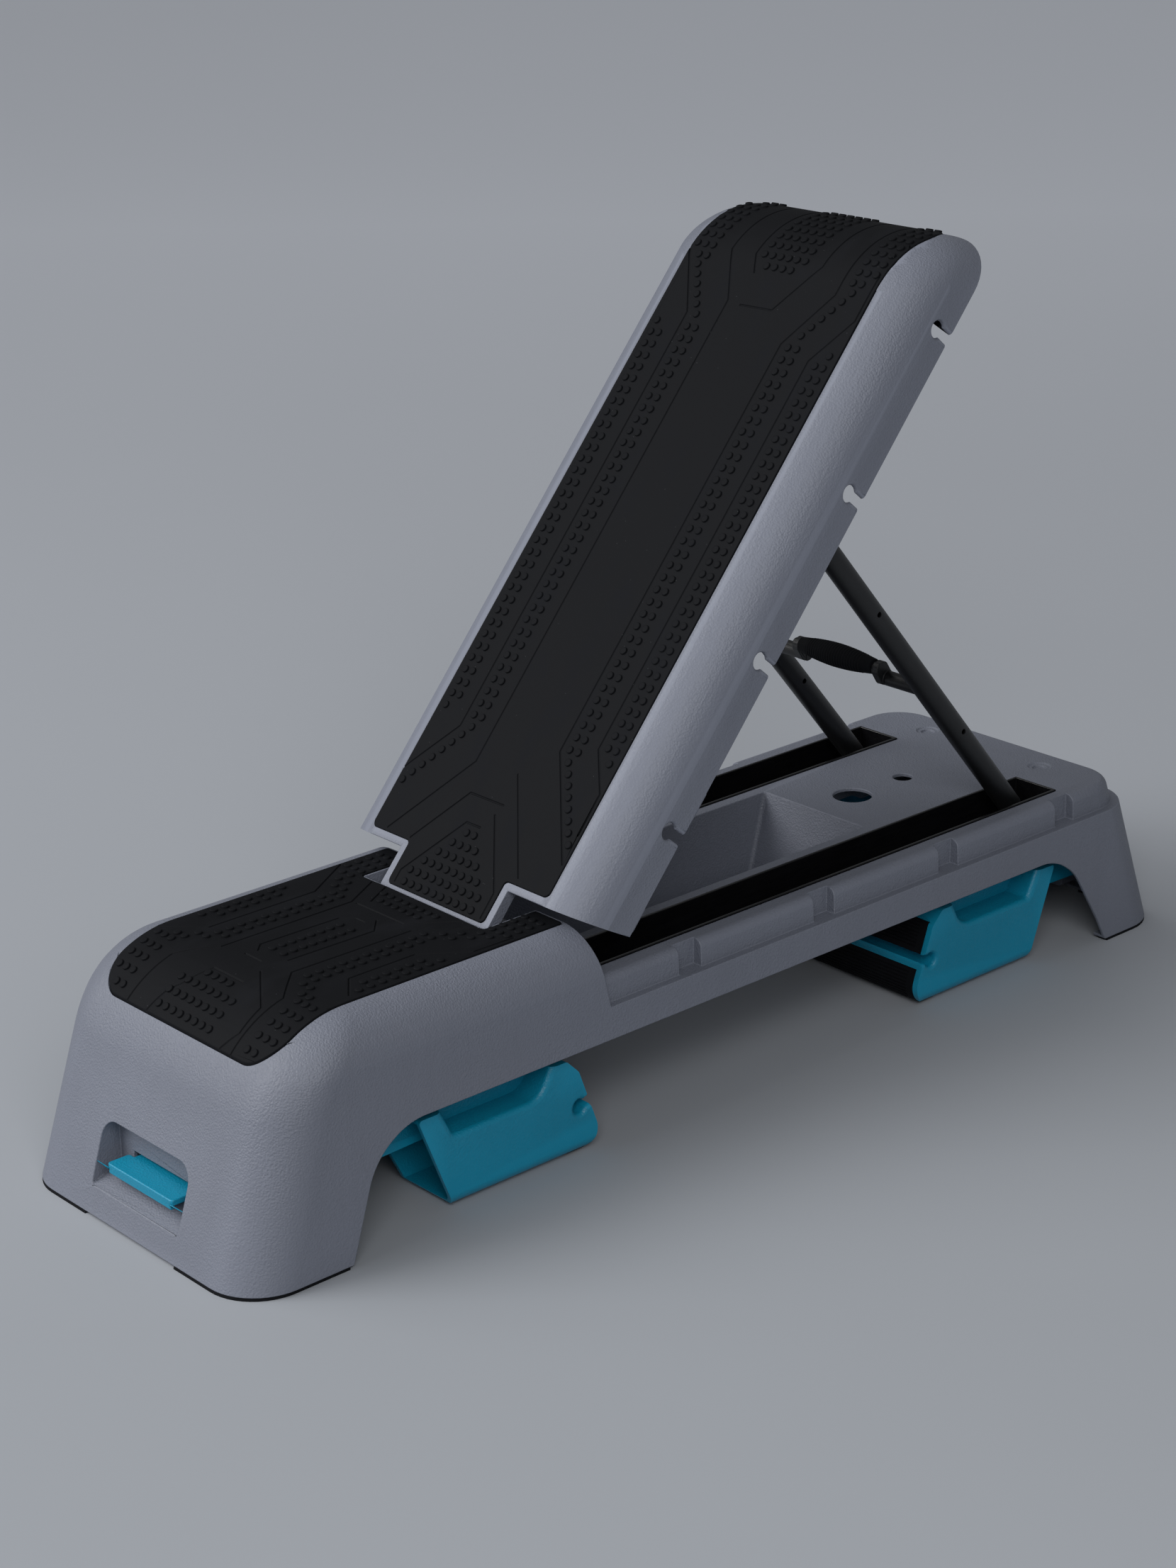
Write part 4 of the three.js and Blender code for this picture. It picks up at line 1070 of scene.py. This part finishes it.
def leg_profile(grow):
    """Side profile of a leg, in distance from the deck's end and height."""
    sole = grow * 1.064
    top, bottom = 90 + grow, LEG_BOTTOM_Z - grow
    return [(186.5 - grow, top, 3), (342.5 + grow / 2, top, 5), (355.3 + sole, 77, 8),
            (sole_at(LEG_BOTTOM_Z) + sole, bottom, 18 + grow), (220 - grow, bottom, 6)]


def leg_prism(corners, y0, y1):
    return prism("Y", from_end(corners), y0, y1)


def leg_section(grow):
    """Cross-section of a leg: flat sides that round into its sole."""
    w, z, radius = LEG_HALF_WIDTH + grow, LEG_BOTTOM_Z - grow, 12 + grow
    return prism("X", [(-w, z, radius), (w, z, radius), (w, 200), (-w, 200)], -460, -150)


def scoop_outline(grow):
    """Outline of a hand scoop, whose ends keep their lean however much it grows."""
    floor, left, right = 66 - grow, 223 - grow, 314 + grow
    spread = (100 - floor) / 2
    return from_end(outline([(left - spread, 100), (left, floor, 5 + grow), (right, floor, 20 + grow),
                             (right + spread, 100)]))


def leg_scoop(side, wall=0):
    """Hand scoop whose floor rolls over into the leg's side; grown by a wall it is the scoop's casing."""
    inner = LEG_HALF_WIDTH - SCOOP_DEPTH - wall
    if wall:
        casing = scoop_outline(wall)
        return loft([[(x, side * y, z) for x, z in casing] for y in (inner, LEG_HALF_WIDTH + 10)])
    return flared(scoop_outline, side, inner, LEG_HALF_WIDTH, SCOOP_ROLL)


def leg_channel(grow):
    return prism("X", [(-78 - grow, -10), (78 + grow, -10), (66 + grow, 28 + grow, 5),
                       (-66 - grow, 28 + grow, 5)], -410, -232 + grow)


def groove_mouth(grow):
    e, z = GROOVE_E, GROOVE_Z
    return from_end([(e, z - 4 - grow), (e + 16, z + 1 - grow), (e + 16, z + 9 + grow), (e, z + 4 + grow)])


def groove_bore(grow):
    radius = GROOVE_R + grow
    angles = [math.tau * k / 36 for k in range(36)]
    return from_end([(GROOVE_E + radius * math.cos(a), GROOVE_Z + radius * math.sin(a)) for a in angles])


def leg_groove():
    """Hooked groove across the sole, whose lips roll over into the sides."""
    return join(*(flared(shape, side, -0.1, LEG_HALF_WIDTH, GROOVE_ROLL)
                  for shape in (groove_bore, groove_mouth) for side, _ in SIDES))


def pad_block(upper, outer, inner, grow):
    """Layer between two growths of the leg's profile, clipped to a grown pad's width and height."""
    layer = leg_prism(leg_profile(outer), -200, 200) - leg_prism(leg_profile(inner), -200, 200)
    z0, z1, e0 = (51, 79, 340) if upper else (-10, 37, 346)
    y = LEG_HALF_WIDTH - PAD_INSET + grow
    return layer & leg_prism([(e0 - grow, z0 - grow), (400, z0 - grow), (400, z1 + grow),
                              (e0 - grow, z1 + grow)], -y, y)


def leg_shell():
    w = LEG_HALF_WIDTH
    hollow = leg_section(-LEG_WALL) & leg_prism(
        [(150, 86), (337, 86, 4), (347.5, 74.5, 6), (sole_at(6) - 7, 6, 14), (150, 6)],
        LEG_WALL - w, w - LEG_WALL)
    hollow = cut(hollow, leg_scoop(1, LEG_WALL), leg_scoop(-1, LEG_WALL), leg_channel(LEG_WALL),
                 bar_y(GROOVE_E - HALF_LENGTH, GROOVE_Z, -150, 150, GROOVE_R + LEG_WALL))
    body = cut(leg_prism(leg_profile(0), -w, w) & leg_section(0), leg_scoop(1), leg_scoop(-1),
               leg_channel(0), hollow)
    arms = []
    for side, _ in SIDES:
        ys = span_y(side, *ARM_Y)
        arms.append(leg_prism(ARM, *ys) + bar_y(LEG_PIVOT.x, LEG_PIVOT.z, *ys, 17))
    beds = [pad_block(upper, 6, -3, FIT) for upper in (True, False)]
    return cut(body + (join(*arms) - leg_channel(0)), leg_groove(), *beds,
               bar_y(LEG_PIVOT.x, LEG_PIVOT.z, -150, 150, BUSH_R + FIT))


def along_path(path, spacing):
    """Points and directions at equal spacing along a path."""
    places, travelled, due = [], 0, spacing
    for a, b in zip(path, path[1:]):
        length = (b - a).length
        while due <= travelled + length:
            places.append((a.lerp(b, (due - travelled) / length), (b - a).normalized()))
            due += spacing
        travelled += length
    return places


PAD_PROUD = 0.4
RIB_PITCH = 3.2
RIB_GROOVE = 0.55  # half width
RIB_DEPTH = 0.9


def leg_pad(upper):
    """Sole pad with fine ribs that run across the leg and follow its curve."""
    pad = pad_block(upper, PAD_PROUD, -2.7, 0) & leg_section(PAD_PROUD)
    top, bottom = (77, 53) if upper else (36, 0)
    sole = [Vector((sole_at(top) + PAD_PROUD, top))]
    sole += [Vector((sole_at(bottom) + PAD_PROUD, bottom))] if upper else [
        point for point in outline(leg_profile(PAD_PROUD), 3) if point.x > 346 and point.y < top]
    grooves = []
    for point, along in along_path(sole, RIB_PITCH):
        inward = Vector((along.y, -along.x))
        corners = [point + along * sign * RIB_GROOVE + inward * depth
                   for sign, depth in ((-1, -2), (1, -2), (1, RIB_DEPTH), (-1, RIB_DEPTH))]
        grooves.append(leg_prism(corners, -LEG_HALF_WIDTH + 14, LEG_HALF_WIDTH - 14))
    return cut(pad, *grooves)


LATCH_Z = (42.5, 47.5)
WIRE_R = 0.7
SPRING_TURNS = 9


def latch(end):
    """Sliding lever: a paddle in the pocket, a stem through the slot and a plate that holds the leg."""
    inner, shoulder = (98, 62) if end == "front" else (58, 51)
    outer = 14.5
    z = LATCH_Z[0]

    def plan(e0, e1, half, radius):
        return prism("Z", symmetric(from_end([(e0, -half, radius), (e1, -half, radius)])), *LATCH_Z)

    lip = [(outer, z + 1), (outer, z - 4, 1.5), (outer + 4, z - 4, 1), (outer + 4, z + 1)]
    return join(plan(outer, 36, 45, 3), leg_prism(lip, -43, 43), plan(34, shoulder + 2, 38, 0.5),
                plan(shoulder, inner, 95, 3))


def coil(low, high):
    """Helical spring along X that fills a box, with flat end turns."""
    middle = (low + high) / 2
    radius = (high.z - low.z) / 2 - 0.75
    steps = 20 * SPRING_TURNS
    rings = []
    for k in range(steps + 1):
        turns = SPRING_TURNS * k / steps
        eased = min(1, max(0, (turns - 0.9) / (SPRING_TURNS - 1.8)))
        x = low.x + WIRE_R + (high.x - low.x - 2 * WIRE_R) * eased
        out = Vector((0, math.cos(math.tau * turns), math.sin(math.tau * turns)))
        centre = Vector((x, middle.y, middle.z)) + out * radius
        rings.append([centre + out * WIRE_R * math.cos(a) + Vector((WIRE_R * math.sin(a), 0, 0))
                      for a in (math.tau * m / 8 for m in range(8))])
    return loft(rings)


LEG_SHELL = leg_shell()
LEG_PADS = {"upper": leg_pad(True), "lower": leg_pad(False)}
for sign, end in ENDS:
    pivot = JOINT_AT[f"{end}_leg_hinge"]
    place = Matrix.Rotation(0 if sign > 0 else math.pi, 4, "Z") @ Matrix.Translation(
        (-abs(pivot.x) - LEG_PIVOT.x, 0, 0))
    body = f"{end}_leg"
    piece(f"{end}_leg_body", LEG_SHELL.moved(place), body, "teal_plastic", f"{end}_leg_shell")
    for where, pad in LEG_PADS.items():
        piece(f"{end}_sole_pad_{where}", pad.moved(place), body, "rubber", f"{end}_leg_{where}_pad")
    pin = lathe((pivot.x, -124, pivot.z), (0, 1, 0), [
        (0, 3), (0.4, 5), (1.2, PIN_R), (246.8, PIN_R), (247.6, 5), (248, 3)])
    node = f"{end}_leg_pin"
    piece(f"{end}_hinge_pin", pin, BODY_OF[node], "zinc_steel", node)
    for side, name in SIDES:
        bush = sleeve(pivot.x, pivot.z, *span_y(side, 103, 113), BUSH_R, PIN_R + FIT)
        node = f"{end}_leg_bush_{name}"
        piece(f"{end}_hinge_bush_{name}", bush, BODY_OF[node], "black_plastic", node)
        node = f"{end}_latch_spring_{name}"
        piece(f"{end}_return_spring_{name}", coil(*node_box(node)), BODY_OF[node], "zinc_steel", node)
    piece(f"{end}_latch_lever", turned(latch(end), sign), f"{end}_latch", "teal_plastic", f"{end}_latch",
          bevel=0.8)

# ---- floor, light and camera
VIEW_AZIMUTH = rad(-41.36)
VIEW_ELEVATION = rad(20.65)
VIEW_ROLL = rad(-1.2)
VIEW_FROM = Vector((-1.7058, -1.8752, 1.1964))
LENS = 71.23


def add_floor():
    mesh = bpy.data.meshes.new("floor")
    size = 60
    corners = [(-size, -size, 0), (size, -size, 0), (size, size, 0), (-size, size, 0)]
    mesh.from_pydata(corners, [], [(0, 1, 2, 3)])
    shader = Shader("floor_painted_light")
    # Painted light: the floor's colour is paler the farther it lies from the camera side, standing in for
    # light that falls off on the far floor.
    away = shader.add("VectorMath", "Value", {0: shader.place, 1: (0.66, 0.75, 0)},
                      operation="DOT_PRODUCT")
    painted_light_gradient = shader.mix(shader.spread(away, -0.5, 4), linear(0x9FA3A9), linear(0xD2D6DE))
    cloud = shader.spread(shader.noise(0.8, 4), 0, 1, 0, 0.08)
    shader.set(base_color=shader.mix(cloud, painted_light_gradient, linear(0xE0E4EA)), roughness=0.8, specular_ior_level=0.2)
    mesh.materials.append(shader.material)
    placed("floor", mesh)


def area_light(name, position, target, size, watts):
    light = bpy.data.lights.new(name, "AREA")
    light.shape = "RECTANGLE"
    light.size, light.size_y = size
    light.energy = watts
    made = placed(name, light)
    made.location = position
    made.rotation_euler = (Vector(target) - Vector(position)).to_track_quat("-Z", "Y").to_euler()


def even_light(name, towards, strength):
    """Very soft light that falls evenly on the whole floor."""
    light = bpy.data.lights.new(name, "SUN")
    light.energy = strength
    light.angle = rad(60)
    placed(name, light).rotation_euler = Vector(towards).to_track_quat("Z", "Y").to_euler()


def add_camera():
    back = Vector((math.sin(VIEW_AZIMUTH) * math.cos(VIEW_ELEVATION),
                   -math.cos(VIEW_AZIMUTH) * math.cos(VIEW_ELEVATION), math.sin(VIEW_ELEVATION)))
    right = Vector((math.cos(VIEW_AZIMUTH), math.sin(VIEW_AZIMUTH), 0))
    up = back.cross(right)
    turn = Matrix((right, up, back)).transposed() @ Matrix.Rotation(VIEW_ROLL, 3, "Z")
    camera = bpy.data.cameras.new("camera")
    camera.lens = LENS
    camera.clip_end = 200
    made = placed("camera", camera)
    made.matrix_world = Matrix.Translation(VIEW_FROM) @ turn.to_4x4()
    bpy.context.scene.camera = made


def add_world():
    world = bpy.data.worlds.new("studio")
    world.use_nodes = True
    background = world.node_tree.nodes["Background"]
    background.inputs["Color"].default_value = (0.93, 0.96, 1, 1)
    background.inputs["Strength"].default_value = 0.16
    bpy.context.scene.world = world
    bpy.context.scene.view_settings.view_transform = "Standard"


add_floor()
area_light("key", (-2.9, 1.5, 2.0), (0, 0, 0.2), (2, 2), 55)
area_light("side", (-1.9, -2.6, 2.3), (0, 0, 0.3), (2.2, 1.8), 52)
even_light("ceiling", (-0.5, 0.45, 0.75), 1.15)
add_camera()
add_world()

for mesh in list(bpy.data.meshes):
    if not mesh.users:
        bpy.data.meshes.remove(mesh)
